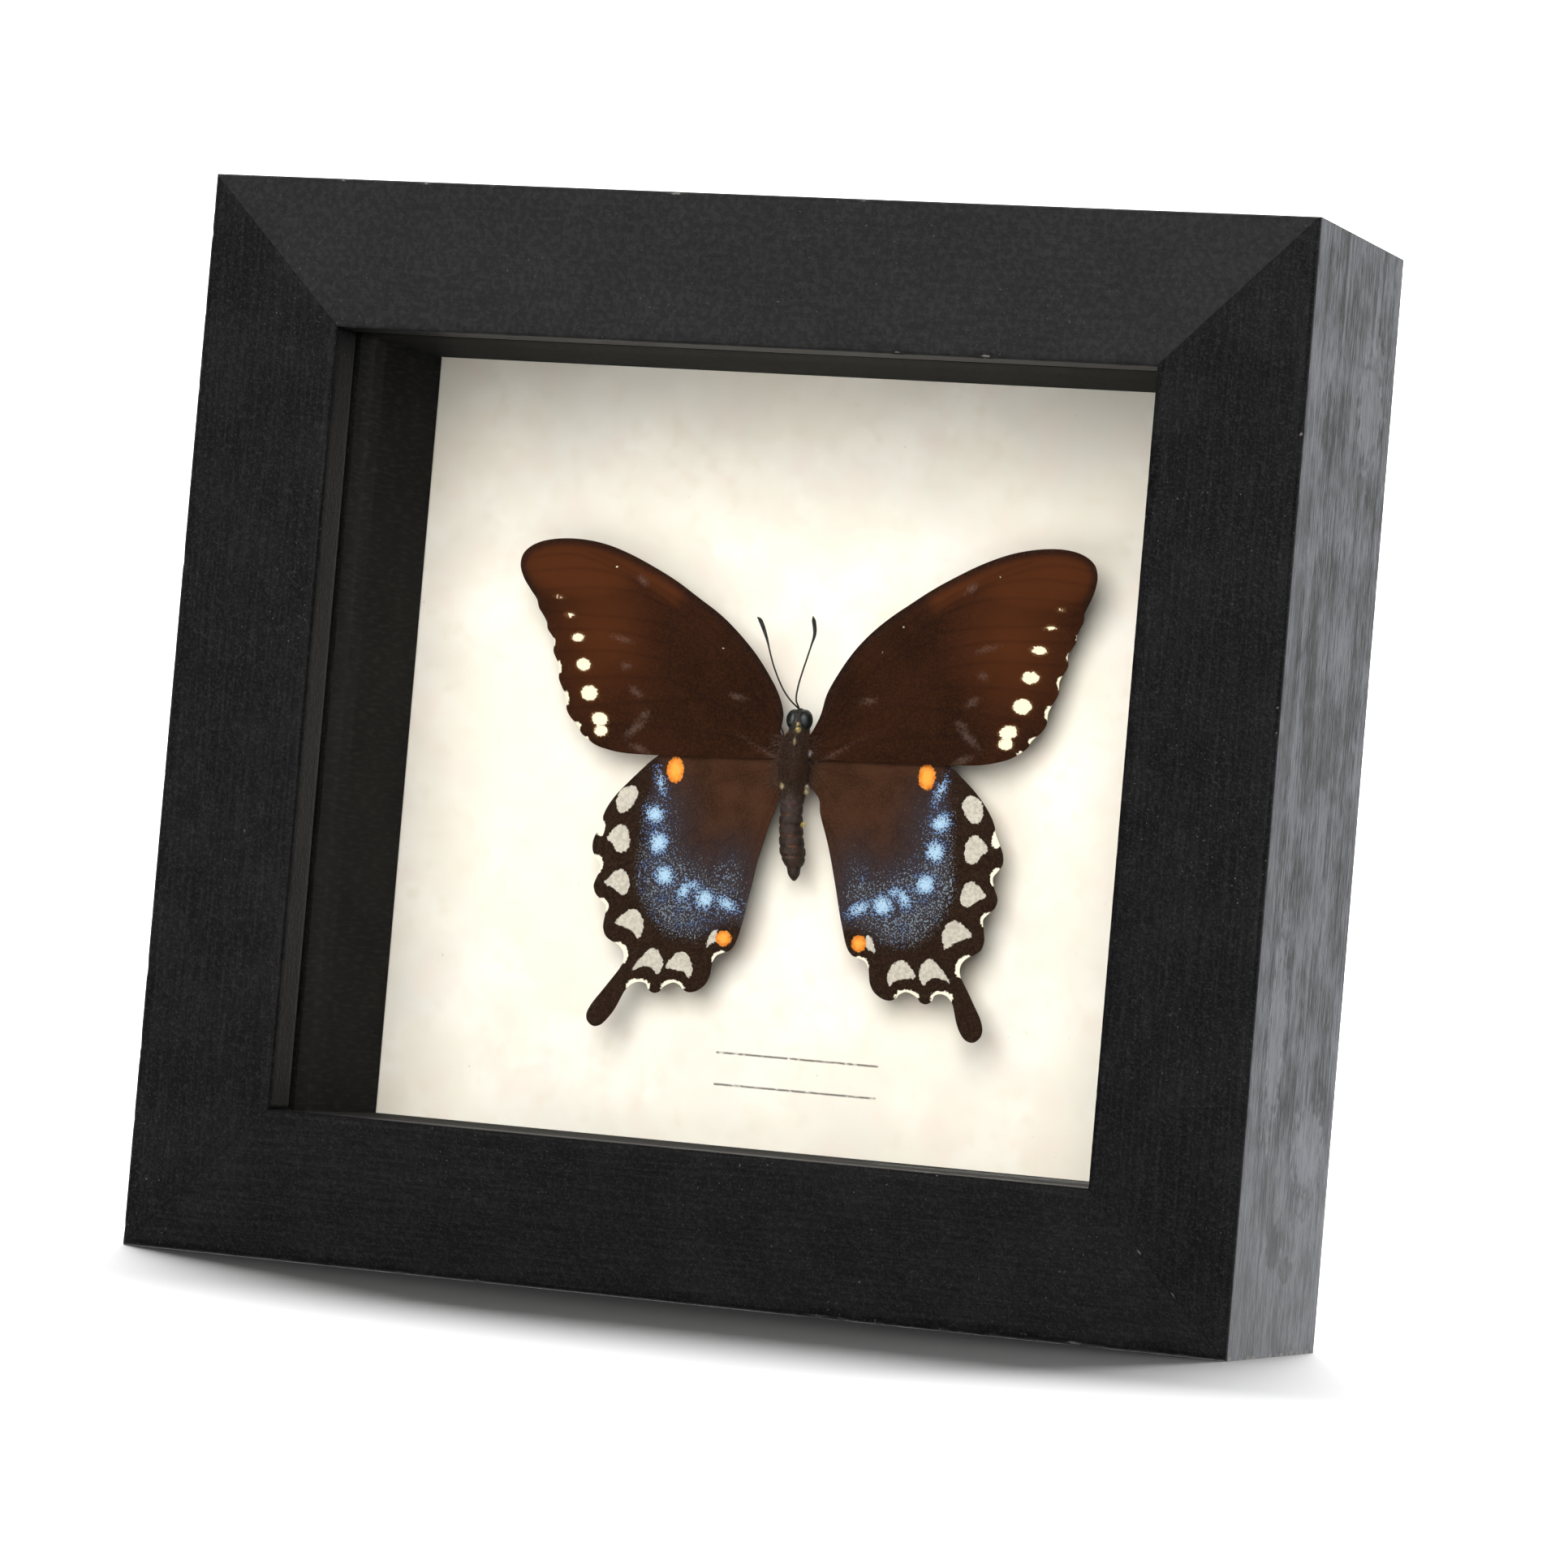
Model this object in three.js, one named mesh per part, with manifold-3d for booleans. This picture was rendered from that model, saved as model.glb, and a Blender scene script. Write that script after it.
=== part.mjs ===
// A spread swallowtail butterfly, fixed to a cream board inside a deep black wooden frame.
//
// Millimetres, +Z up. The frame stands on its bottom rail with the window facing -Y. The origin
// is the middle of the footprint, on the surface that the frame stands on.

import * as THREE from 'three';
import { mergeVertices } from 'three/addons/utils/BufferGeometryUtils.js';
import Module from 'manifold-3d';

const wasm = await Module();
wasm.setup();

// ---------------------------------------------------------------- driving dimensions

const FRAME_WIDTH = 172;
const FRAME_HEIGHT = 161;
const FRAME_DEPTH = 46;
const RAIL_FACE = 22.2; // width of a rail, seen from the front
const LIP_DEPTH = 7; // thickness of the lip that the glass rests against
const REBATE = 5; // how far the lip reaches in front of the glass
const EDGE_EASE = 0.6; // small flat on the outer edges of the moulding
const GAP = 0.3; // room between pieces that touch

const GLASS_THICKNESS = 3;
const WINDOW_TO_BOARD = 40.6; // from the frame's front face to the board's paper face
const SPACER_SETBACK = 0.2; // how far the lining sits behind the lip's inner edge
const BOARD_THICKNESS = 2;
const BACK_PANEL_THICKNESS = 2;

const POINT = { width: 6, length: 9, shoulder: 5, thickness: 0.5 };
const POINT_SPREAD = 36; // from the middle of a rail to each of its two points

const HANGER = { length: 46, height: 9, thickness: 0.8, bow: 1.2, flatFrom: 17.5, bowedTo: 10 };
const TEETH = { count: 13, pitch: 1.95, depth: 1.6 };
const NAIL = {
  spread: 20, // from the middle of the hanger
  headRadius: 1.5,
  crownRadius: 1.2,
  headThickness: 0.6,
  shankRadius: 0.6,
  shankLength: 7,
  pointLength: 1,
};
const ROUND_SIDES = 16;

const WING_THICKNESS = 0.4;
const WING_STANDOFF = 5.7; // from the board to the wings
const WING_UNDERLAP = 0.75; // how far the hindwing lies behind the forewing
const FORE_EDGE_RAISE = 1.2; // the forewings' front edges arch towards the window
const TIP_RAISE = 2.3; // their tips curl further
const MARGIN_DROOP = 0.8; // below the tips their outer margins bend back
const TAIL_RAISE = 2.4; // the tails bend up
const WING_CELL = 4; // grid size of the curved wing sheets
const HANGER_CELL = 3;
const CUT_REACH = 10; // how far an outline's cutter runs past its sheet on both sides

const SPECIMEN = { x: 2.5, z: 80, tiltDegrees: 2.4 }; // middle of the thorax, and its lean
const RIGHT_WING_DROP = 0.8; // degrees by which the right forewing is set lower than the left
const THORAX_HALF_WIDTH = 2.15;
const BODY_DEPTH_SHARE = 1.1; // the body is a little deeper than it is wide
const EYE = { radius: 0.85, apart: 2.1, forward: 0.3, v: 7.1 };
const ANTENNA_SIDES = 6;
const ANTENNA_STEPS = 16;
const GLUE = { radius: 2.2, topRadius: 1.36, waistRadius: 1.32 };

// ---------------------------------------------------------------- worked-out dimensions

const TOTAL_DEPTH = FRAME_DEPTH + GAP + HANGER.thickness + HANGER.bow;
const FRONT_Y = -TOTAL_DEPTH / 2;
const BOARD_Y = FRONT_Y + WINDOW_TO_BOARD;
const GLASS_Y = FRONT_Y + LIP_DEPTH + GAP;
const PANEL_Y = BOARD_Y + BOARD_THICKNESS + GAP;
const HANGER_Y = FRONT_Y + FRAME_DEPTH + GAP;
const REBATE_FACE = RAIL_FACE - REBATE; // from a rail's outer face to its rebate wall

// ---------------------------------------------------------------- finishes

const finish = (color, roughness, metalness = 0) => () =>
  new THREE.MeshStandardMaterial({ color, roughness, metalness });

const blackPaint = finish(0x2a2a2b, 0.55);
const blackLining = finish(0x1e1d1b, 0.8);
const creamPaper = finish(0xe9dfcc, 0.9);
const hardboard = finish(0x6b4c30, 0.8);
const steel = finish(0xa6a7a5, 0.35, 0.9);
const forewingScales = finish(0x3b2014, 0.7);
const hindwingScales = finish(0x31241f, 0.7);
const bodyHair = finish(0x231812, 0.85);
const antennaBlack = finish(0x17120f, 0.6);
const clearGlue = finish(0xd9d6cb, 0.2);

function glass() {
  const clear = { transparent: true, opacity: 0.2 };
  return new THREE.MeshStandardMaterial({ color: 0xe4ecec, roughness: 0.05, ...clear });
}

// ---------------------------------------------------------------- helpers

function piece(name, geometry, material) {
  const mesh = new THREE.Mesh(geometry, material());
  mesh.name = name;
  return mesh;
}

// The same surface with shared vertices merged and the collapsed triangles at poles left out.
function welded(geometry) {
  const bare = new THREE.BufferGeometry();
  bare.setAttribute('position', geometry.getAttribute('position').clone());
  if (geometry.index) bare.setIndex(geometry.index.clone());
  const merged = mergeVertices(bare);
  const corners = Array.from(merged.index.array);
  const kept = [];
  for (let i = 0; i < corners.length; i += 3) {
    const [p, q, r] = corners.slice(i, i + 3);
    if (p !== q && q !== r && r !== p) kept.push(p, q, r);
  }
  merged.setIndex(kept);
  merged.computeVertexNormals();
  return merged;
}

function solid(geometry) {
  const closed = welded(geometry);
  return new wasm.Manifold(
    new wasm.Mesh({
      numProp: 3,
      vertProperties: new Float32Array(closed.getAttribute('position').array),
      triVerts: new Uint32Array(closed.index.array),
    }),
  );
}

function geometryOf(manifold) {
  const mesh = manifold.getMesh();
  const geometry = new THREE.BufferGeometry();
  geometry.setAttribute('position', new THREE.BufferAttribute(mesh.vertProperties, mesh.numProp));
  geometry.setIndex(new THREE.BufferAttribute(mesh.triVerts, 1));
  geometry.computeVertexNormals();
  return geometry;
}

// Moves every vertex of a geometry by move(vector).
function reshape(geometry, move) {
  const position = geometry.getAttribute('position');
  const vertex = new THREE.Vector3();
  for (let i = 0; i < position.count; i += 1) {
    vertex.fromBufferAttribute(position, i);
    move(vertex);
    position.setXYZ(i, vertex.x, vertex.y, vertex.z);
  }
  geometry.computeVertexNormals();
  return geometry;
}

const asVectors = (pairs) => pairs.map(([x, y]) => new THREE.Vector2(x, y));

const shapeOf = (points) => new THREE.Shape(asVectors(points));

const ramp = (from, to, value) => THREE.MathUtils.smoothstep(value, from, to);

// A curved plate: a sheet bent by depthAt(x, z), cut to an outline drawn in x and z.
function curvedPlate(outline, thickness, cell, depthAt) {
  const cutter = new THREE.ExtrudeGeometry(outline, { depth: 2 * CUT_REACH, bevelEnabled: false });
  cutter.translate(0, 0, -CUT_REACH).rotateX(Math.PI / 2);

  const box = new THREE.Box2().setFromPoints(outline.getPoints());
  const middle = box.getCenter(new THREE.Vector2());
  const size = box.getSize(new THREE.Vector2()).addScalar(cell);
  const cells = size.clone().divideScalar(cell).ceil();
  const sheet = new THREE.BoxGeometry(size.x, thickness, size.y, cells.x, 1, cells.y);
  sheet.translate(middle.x, thickness / 2, middle.y);
  reshape(sheet, (vertex) => {
    vertex.y += depthAt(vertex.x, vertex.z);
  });
  return solid(sheet).intersect(solid(cutter));
}

// A round bar along Y between two depths.
function bar(radius, from, to) {
  const cylinder = new THREE.CylinderGeometry(radius, radius, to - from, ROUND_SIDES);
  return solid(cylinder.translate(0, (from + to) / 2, 0));
}

// A box between two corners.
function block(low, high) {
  const size = high.map((value, axis) => value - low[axis]);
  const middle = high.map((value, axis) => (value + low[axis]) / 2);
  return new THREE.BoxGeometry(...size).translate(...middle);
}

// ---------------------------------------------------------------- the frame's four rails

// The moulding's section: across is measured in from the outer face, back from the front face.
const MOULDING = [
  [EDGE_EASE, 0],
  [RAIL_FACE - EDGE_EASE, 0],
  [RAIL_FACE, EDGE_EASE],
  [RAIL_FACE, LIP_DEPTH],
  [REBATE_FACE, LIP_DEPTH],
  [REBATE_FACE, FRAME_DEPTH],
  [EDGE_EASE, FRAME_DEPTH],
  [0, FRAME_DEPTH - EDGE_EASE],
  [0, EDGE_EASE],
];

// A rail of the given length, centred on x, its outer face at z = 0 and its lip reaching down.
// Both ends lie on the mitre planes, so they draw in by as much as they lie across the moulding.
function mitredRail(length) {
  const rail = new THREE.ExtrudeGeometry(shapeOf(MOULDING), { depth: 1, steps: 1, bevelEnabled: false });
  const mitreGap = GAP * Math.SQRT1_2;
  return reshape(rail, (vertex) => {
    const { x: across, y: back, z: end } = vertex;
    const reach = length / 2 - across - mitreGap;
    vertex.set(end > 0.5 ? reach : -reach, back, -across);
  });
}

// The top rail has two blind holes in its back for the hanger's nails.
function nailedRail(length) {
  const hole = bar(NAIL.shankRadius + GAP, FRAME_DEPTH - NAIL.shankLength - GAP, FRAME_DEPTH + CUT_REACH);
  let rail = solid(mitredRail(length));
  for (const x of [-NAIL.spread, NAIL.spread]) {
    rail = rail.subtract(hole.translate([x, 0, -RAIL_FACE / 2]));
  }
  return geometryOf(rail);
}

function frameRails() {
  const places = {
    top: { length: FRAME_WIDTH, turn: 0, x: 0, z: FRAME_HEIGHT },
    bottom: { length: FRAME_WIDTH, turn: Math.PI, x: 0, z: 0 },
    left: { length: FRAME_HEIGHT, turn: -Math.PI / 2, x: -FRAME_WIDTH / 2, z: FRAME_HEIGHT / 2 },
    right: { length: FRAME_HEIGHT, turn: Math.PI / 2, x: FRAME_WIDTH / 2, z: FRAME_HEIGHT / 2 },
  };
  return Object.entries(places).map(([side, place]) => {
    const shape = side === 'top' ? nailedRail : mitredRail;
    const rail = piece(`frame_rail_${side}`, shape(place.length), blackPaint);
    rail.rotation.y = place.turn;
    rail.position.set(place.x, FRONT_Y, place.z);
    return rail;
  });
}

// ---------------------------------------------------------------- what lies in the rebate

// A sheet that fills the rebate from side to side, with room all round.
function rebateSheet(front, thickness) {
  const inset = REBATE_FACE + GAP;
  return block(
    [-FRAME_WIDTH / 2 + inset, front, inset],
    [FRAME_WIDTH / 2 - inset, front + thickness, FRAME_HEIGHT - inset],
  );
}

// The lining: two strips over the full height, and two shorter ones between them.
function spacers() {
  const outer = REBATE_FACE + GAP;
  const thickness = RAIL_FACE - SPACER_SETBACK - outer;
  const [front, back] = [GLASS_Y + GLASS_THICKNESS + GAP, BOARD_Y - GAP];
  const [low, high] = [outer, FRAME_HEIGHT - outer];
  const sideX = FRAME_WIDTH / 2 - outer;
  const betweenX = sideX - thickness - GAP;
  return [
    ['left', [-sideX, low], [-sideX + thickness, high]],
    ['right', [sideX - thickness, low], [sideX, high]],
    ['top', [-betweenX, high - thickness], [betweenX, high]],
    ['bottom', [-betweenX, low], [betweenX, low + thickness]],
  ].map(([side, [x0, z0], [x1, z1]]) =>
    piece(`spacer_${side}`, block([x0, front, z0], [x1, back, z1]), blackLining),
  );
}

// ---------------------------------------------------------------- the back

// A flat steel point, its blunt end against the rebate wall at z = 0 and its tip reaching down.
function framersPoint() {
  const { width, length, shoulder, thickness } = POINT;
  const outline = shapeOf([
    [-width / 2, 0],
    [width / 2, 0],
    [width / 2, -shoulder],
    [0, -length],
    [-width / 2, -shoulder],
  ]);
  const point = new THREE.ExtrudeGeometry(outline, { depth: thickness, bevelEnabled: false });
  return point.rotateX(Math.PI / 2).translate(0, thickness, 0);
}

function framersPoints() {
  const wallZ = FRAME_HEIGHT / 2 - REBATE_FACE - GAP;
  const wallX = FRAME_WIDTH / 2 - REBATE_FACE - GAP;
  const y = PANEL_Y + BACK_PANEL_THICKNESS + GAP;
  const rails = { top: [0, wallZ], right: [1, wallX], bottom: [2, wallZ], left: [3, wallX] };
  const points = [];
  for (const [side, [quarterTurns, wall]] of Object.entries(rails)) {
    for (const [end, along] of [['a', -POINT_SPREAD], ['b', POINT_SPREAD]]) {
      const flat = framersPoint().rotateX(-Math.PI / 2).translate(along, wall, 0);
      flat.rotateZ(-quarterTurns * Math.PI / 2).rotateX(Math.PI / 2);
      const point = piece(`framers_point_${side}_${end}`, flat, steel);
      point.position.set(0, y, FRAME_HEIGHT / 2);
      points.push(point);
    }
  }
  return points;
}

// A toothed strip across the back of the top rail, bowed off the wood between its two nails.
function sawtoothHanger() {
  const { length, height, thickness, bow, bowedTo, flatFrom } = HANGER;
  const outline = [[length / 2, 0], [length / 2, height], [-length / 2, height], [-length / 2, 0]];
  const toothedLength = TEETH.count * TEETH.pitch;
  for (let tooth = 0; tooth < TEETH.count; tooth += 1) {
    const start = -toothedLength / 2 + tooth * TEETH.pitch;
    outline.push([start, 0], [start + TEETH.pitch / 2, TEETH.depth]);
  }
  outline.push([toothedLength / 2, 0]);
  const bowAt = (x) => bow * (1 - ramp(bowedTo, flatFrom, Math.abs(x)));
  let strip = curvedPlate(shapeOf(outline), thickness, HANGER_CELL, bowAt);
  const hole = bar(NAIL.shankRadius + GAP, -CUT_REACH, CUT_REACH);
  for (const x of [-NAIL.spread, NAIL.spread]) {
    strip = strip.subtract(hole.translate([x, 0, height / 2]));
  }
  const hanger = piece('sawtooth_hanger', geometryOf(strip), steel);
  hanger.position.set(0, HANGER_Y, FRAME_HEIGHT - (RAIL_FACE + height) / 2);
  return hanger;
}

// A nail with its head on the hanger and its shank in the rail.
function hangerNails() {
  const { spread, headRadius, crownRadius, headThickness, shankRadius, shankLength, pointLength } = NAIL;
  const tip = -shankLength - HANGER.thickness;
  const profile = asVectors([
    [0, tip], [shankRadius, tip + pointLength], [shankRadius, 0],
    [headRadius, 0], [crownRadius, headThickness], [0, headThickness],
  ]);
  return [['left', -spread], ['right', spread]].map(([side, x]) => {
    const nail = piece(`hanger_nail_${side}`, welded(new THREE.LatheGeometry(profile, ROUND_SIDES)), steel);
    nail.position.set(x, HANGER_Y + HANGER.thickness + GAP, FRAME_HEIGHT - RAIL_FACE / 2);
    return nail;
  });
}

// ---------------------------------------------------------------- the specimen's outlines

// The specimen is drawn in its own frame: u outwards from the body's middle line, v up towards
// the head, depth away from the window. One side mirrors the other, but for the right forewing,
// which is set a little lower.
const SIDES = {
  left: { sign: -1, forewingDrop: 0 },
  right: { sign: 1, forewingDrop: THREE.MathUtils.degToRad(RIGHT_WING_DROP) },
};

const FOREWING_ROOT = { top: 4.6, bottom: 0.9 };
const HINDWING_ROOT = { top: 2, bottom: -3.2 };

const FOREWING_COSTA = [
  [2.9, 7.4], [3.8, 10.6], [5.6, 13.8], [7.8, 16.9], [10.6, 19.9], [13.4, 22.3], [16.6, 24.5],
  [20.5, 27.1], [24.5, 29.3], [28.5, 31.2], [32.5, 32.6], [36.5, 33.3], [40.2, 33.3], [43.2, 32.6],
  [45.2, 31.2], [45.8, 29.3], [45.3, 27.2], [44.2, 25.2],
];

// Shallow notches between the veins alternate with low lobes at the veins.
const FOREWING_MARGIN = [
  [43.5, 24.0], [43.3, 22.8], [42.3, 21.0], [42.0, 19.6], [40.9, 17.9], [41.0, 16.2], [39.9, 14.0],
  [39.8, 12.0], [38.5, 9.4], [38.3, 7.5], [37.5, 6.2], [36.3, 5.1], [35.6, 3.9], [34.6, 3.1],
];

const FOREWING_HIND_EDGE = [[33.2, 2.2], [31.4, 1.6], [28.5, 1.05], [24, 0.85], [16, 0.8], [8, 0.8]];

const HINDWING_COSTA = [
  [8, 3.2], [15, 3.6], [20, 2.6], [23.5, 0.5], [25.5, -1.2], [27.5, -3.1], [29.3, -5.1], [30.6, -7],
];

// Deeper notches between rounded lobes, down to the root of the tail.
const HINDWING_MARGIN = [
  [31.2, -8.4], [31.5, -9.6], [32.1, -10.9], [32.7, -12.4], [32.7, -13.9], [32, -15],
  [31.3, -16], [31.6, -17.4], [32.2, -19], [31.9, -20.3], [31, -21.2],
  [30.1, -22.2], [30.2, -23.6], [30.4, -25.2], [30, -26.6], [29, -27.4],
  [27.9, -27.9], [27, -28.9], [26.8, -30.1], [27.2, -31.2],
];

// The tail's two sides and its spoon-shaped end.
const HINDWING_TAIL = [
  [28.3, -32.9], [29.6, -34.9], [30.9, -36.9], [31.5, -38.5], [31.2, -39.7], [30.2, -40.4],
  [29, -40.1], [28, -39], [27.2, -37.6], [26.6, -36], [26.1, -34.8],
];

const HINDWING_LOWER_MARGIN = [
  [25.2, -33.8], [24, -33.4], [23, -33.7], [22.6, -34.5], [21.8, -35], [20.9, -34.8], [20.3, -34.1],
  [19.5, -33.6], [18.5, -33.3], [17.5, -33.7], [17, -34.3], [16, -34.7], [14.7, -34.4], [13.5, -33.5],
  [12.8, -32.2], [12.6, -30.9], [12.4, -29.9], [11.8, -29], [10.9, -28.6], [9.8, -28.2], [9, -27.2],
];

const HINDWING_INNER_EDGE = [
  [8.4, -25.6], [7.7, -22.8], [7.1, -20], [6.5, -17.3], [5.9, -14.6], [5.2, -12], [4.4, -9.4],
  [3.6, -7], [3.2, -5],
];

// The body: radius along v, and how far its middle line wanders sideways.
const BODY_PROFILE = [
  [8.5, 0], [8.3, 0.75], [7.6, 1.3], [6.8, 1.45], [6, 1.35], [5.4, 1.25], [4.8, 1.45], [4, 1.85],
  [2.6, 2.08], [1, 2.15], [-0.6, 2.1], [-2.2, 1.9], [-3.6, 1.65], [-4.6, 1.62], [-6.2, 1.8],
  [-8, 1.88], [-9.8, 1.95], [-11.6, 2], [-13.2, 1.95], [-14.4, 1.78], [-15.4, 1.45], [-16.3, 1.05],
  [-17, 0.6], [-17.5, 0],
];
const BODY_WANDER = [
  [8.5, -0.15], [6, -0.15], [4, -0.5], [1, -0.85], [-4, -0.95], [-9, -0.92], [-12, -0.6], [-14.4, -0.2],
  [-17.5, 0],
];

const ANTENNA_PATHS = {
  left: [[-0.5, 8.5], [-2.6, 11.1], [-4.35, 14.7], [-5.65, 18.8], [-6.7, 21.3], [-7.3, 21.9]],
  right: [
    [-0.35, 8.6], [-0.5, 10.1], [-0.2, 12], [0.35, 14], [0.9, 15.8], [1.5, 17.8], [2, 19.8], [1.6, 22.2],
  ],
};
// Thickness along an antenna, as [share of its length, radius]: a thin stalk and a slim club.
const ANTENNA_PROFILE = [[0, 0.12], [0.72, 0.11], [0.86, 0.24], [0.94, 0.27], [1, 0.15]];
const ANTENNA_LIFT = 1.3; // the antennae lie nearer the window than the wings

// Where the body's middle line is, sideways, at height v.
function bodyMiddle(v) {
  const next = BODY_WANDER.findIndex(([height]) => height <= v);
  if (next <= 0) return BODY_WANDER[next === 0 ? 0 : BODY_WANDER.length - 1][1];
  const [[v0, u0], [v1, u1]] = [BODY_WANDER[next - 1], BODY_WANDER[next]];
  return THREE.MathUtils.lerp(u0, u1, (v0 - v) / (v0 - v1));
}

// How far out from the specimen's middle line a wing starts, clear of the thorax.
function wingRoot(sign) {
  return THORAX_HALF_WIDTH + GAP + sign * bodyMiddle(0);
}

function forewingOutline(side) {
  const root = wingRoot(side.sign);
  const hinge = new THREE.Vector2(root, 0);
  const blade = [...FOREWING_COSTA, ...FOREWING_MARGIN, ...FOREWING_HIND_EDGE];
  return asVectors([[root, FOREWING_ROOT.top], ...blade, [root, FOREWING_ROOT.bottom]]).map((point) =>
    point.x > root ? point.rotateAround(hinge, -side.forewingDrop) : point,
  );
}

function hindwingOutline(side) {
  const root = wingRoot(side.sign);
  const outer = [HINDWING_COSTA, HINDWING_MARGIN, HINDWING_TAIL].flat();
  const inner = [...HINDWING_LOWER_MARGIN, ...HINDWING_INNER_EDGE];
  return asVectors([[root, HINDWING_ROOT.top], ...outer, ...inner, [root, HINDWING_ROOT.bottom]]);
}

// ---------------------------------------------------------------- the wings

// Where each bend of a wing begins and ends, along u or v.
const BENDS = {
  foreEdge: { v: [8, 20] },
  margin: { u: [30, 42], v: [20, 28] },
  tip: { u: [34, 46], v: [18, 30] },
  underlap: { v: [-2, -9] },
  tail: { u: [22, 29], v: [-31, -40] },
};

const bend = ([from, to], value) => ramp(0, 1, (value - from) / (to - from));

function forewingDepth(u, v) {
  const { foreEdge, margin, tip } = BENDS;
  const arch = FORE_EDGE_RAISE * bend(foreEdge.v, v) * (1 - bend(margin.u, u));
  const droop = MARGIN_DROOP * bend(margin.u, u) * (1 - bend(margin.v, v));
  return droop - arch - TIP_RAISE * bend(tip.u, u) * bend(tip.v, v);
}

function hindwingDepth(u, v) {
  const { underlap, tail } = BENDS;
  return WING_UNDERLAP * (1 - bend(underlap.v, v)) - TAIL_RAISE * bend(tail.u, u) * bend(tail.v, v);
}

function wing(name, sign, outline, depthAt, material) {
  const placed = outline.map((point) => new THREE.Vector2(sign * point.x, point.y));
  const smooth = new THREE.SplineCurve(placed);
  const edge = new THREE.Shape(smooth.getPoints((outline.length - 1) * 2));
  const plate = curvedPlate(edge, WING_THICKNESS, WING_CELL, (x, v) => depthAt(sign * x, v));
  return piece(name, geometryOf(plate), material);
}

// ---------------------------------------------------------------- body, antennae and glue

function body() {
  const profile = asVectors(BODY_PROFILE.map(([v, radius]) => [radius, v]).reverse());
  const trunk = welded(new THREE.LatheGeometry(profile, ROUND_SIDES)).rotateX(Math.PI / 2);
  reshape(trunk, (vertex) => {
    vertex.set(vertex.x + bodyMiddle(vertex.z), vertex.y * BODY_DEPTH_SHARE, vertex.z);
  });
  let whole = solid(trunk);
  for (const side of [-0.5, 0.5]) {
    const eye = new THREE.SphereGeometry(EYE.radius, ROUND_SIDES, ROUND_SIDES / 2);
    eye.translate(bodyMiddle(EYE.v) + side * EYE.apart, -EYE.forward, EYE.v);
    whole = whole.add(solid(eye));
  }
  return piece('butterfly_body', geometryOf(whole), bodyHair);
}

function antennaRadius(share) {
  const next = ANTENNA_PROFILE.findIndex(([end]) => end >= share);
  if (next <= 0) return next === 0 ? ANTENNA_PROFILE[0][1] : ANTENNA_PROFILE.at(-1)[1];
  const [[s0, r0], [s1, r1]] = [ANTENNA_PROFILE[next - 1], ANTENNA_PROFILE[next]];
  return THREE.MathUtils.lerp(r0, r1, (share - s0) / (s1 - s0));
}

// A straight turned stalk with its club, bent along the antenna's path.
function antenna(name, path) {
  const curve = new THREE.SplineCurve(asVectors(path));
  const profile = [[0, 0]];
  for (let step = 0; step <= ANTENNA_STEPS; step += 1) {
    const share = step / ANTENNA_STEPS;
    profile.push([antennaRadius(share), share]);
  }
  profile.push([0, 1]);
  const lathe = welded(new THREE.LatheGeometry(asVectors(profile), ANTENNA_SIDES)).rotateX(Math.PI / 2);
  reshape(lathe, (vertex) => {
    const { x: across, y: depth } = vertex;
    const share = THREE.MathUtils.clamp(vertex.z, 0, 1);
    const point = curve.getPointAt(share);
    const along = curve.getTangentAt(share);
    vertex.set(point.x + across * along.y, depth - ANTENNA_LIFT, point.y - across * along.x);
  });
  return piece(name, lathe, antennaBlack);
}

// A dab of clear glue under the thorax holds the specimen on the board.
function glueDab() {
  const top = THORAX_HALF_WIDTH * BODY_DEPTH_SHARE + GAP;
  const base = WING_STANDOFF - GAP;
  const waist = THREE.MathUtils.lerp(top, base, 0.5);
  const profile = [
    [0, top], [GLUE.topRadius, top], [GLUE.waistRadius, waist], [GLUE.radius, base], [0, base],
  ];
  const dab = welded(new THREE.LatheGeometry(asVectors(profile), ROUND_SIDES));
  return piece('glue_dab', dab.translate(bodyMiddle(0), 0, 0), clearGlue);
}

// ---------------------------------------------------------------- assembly

function specimen() {
  const group = new THREE.Group();
  group.add(body(), glueDab());
  for (const [name, side] of Object.entries(SIDES)) {
    const fore = [forewingOutline(side), forewingDepth, forewingScales];
    const hind = [hindwingOutline(side), hindwingDepth, hindwingScales];
    group.add(wing(`forewing_${name}`, side.sign, ...fore));
    group.add(wing(`hindwing_${name}`, side.sign, ...hind));
    group.add(antenna(`antenna_${name}`, ANTENNA_PATHS[name]));
  }
  group.position.set(SPECIMEN.x, BOARD_Y - WING_STANDOFF, SPECIMEN.z);
  group.rotation.y = -THREE.MathUtils.degToRad(SPECIMEN.tiltDegrees);
  return group;
}

const framedButterfly = new THREE.Group();
framedButterfly.add(...frameRails());
framedButterfly.add(piece('glass_pane', rebateSheet(GLASS_Y, GLASS_THICKNESS), glass));
framedButterfly.add(...spacers());
framedButterfly.add(piece('mount_board', rebateSheet(BOARD_Y, BOARD_THICKNESS), creamPaper));
framedButterfly.add(piece('back_panel', rebateSheet(PANEL_Y, BACK_PANEL_THICKNESS), hardboard));
framedButterfly.add(...framersPoints());
framedButterfly.add(sawtoothHanger(), ...hangerNails());
framedButterfly.add(specimen());

export default framedButterfly;
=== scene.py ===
# %% [markdown]
# # A framed butterfly
# The object is a swallowtail butterfly, spread flat and fixed to a cream board at the bottom of a
# deep black wooden case with a glass front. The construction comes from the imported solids. Every
# solid that already has the right shape keeps it and gets a finish; the wings, the body and the
# other grown things are modelled again in finer meshes, in the same place and at the same size.

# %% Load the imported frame
import math

import bpy
import numpy as np
from mathutils import Matrix, Vector, noise
from mathutils.geometry import delaunay_2d_cdt


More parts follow.
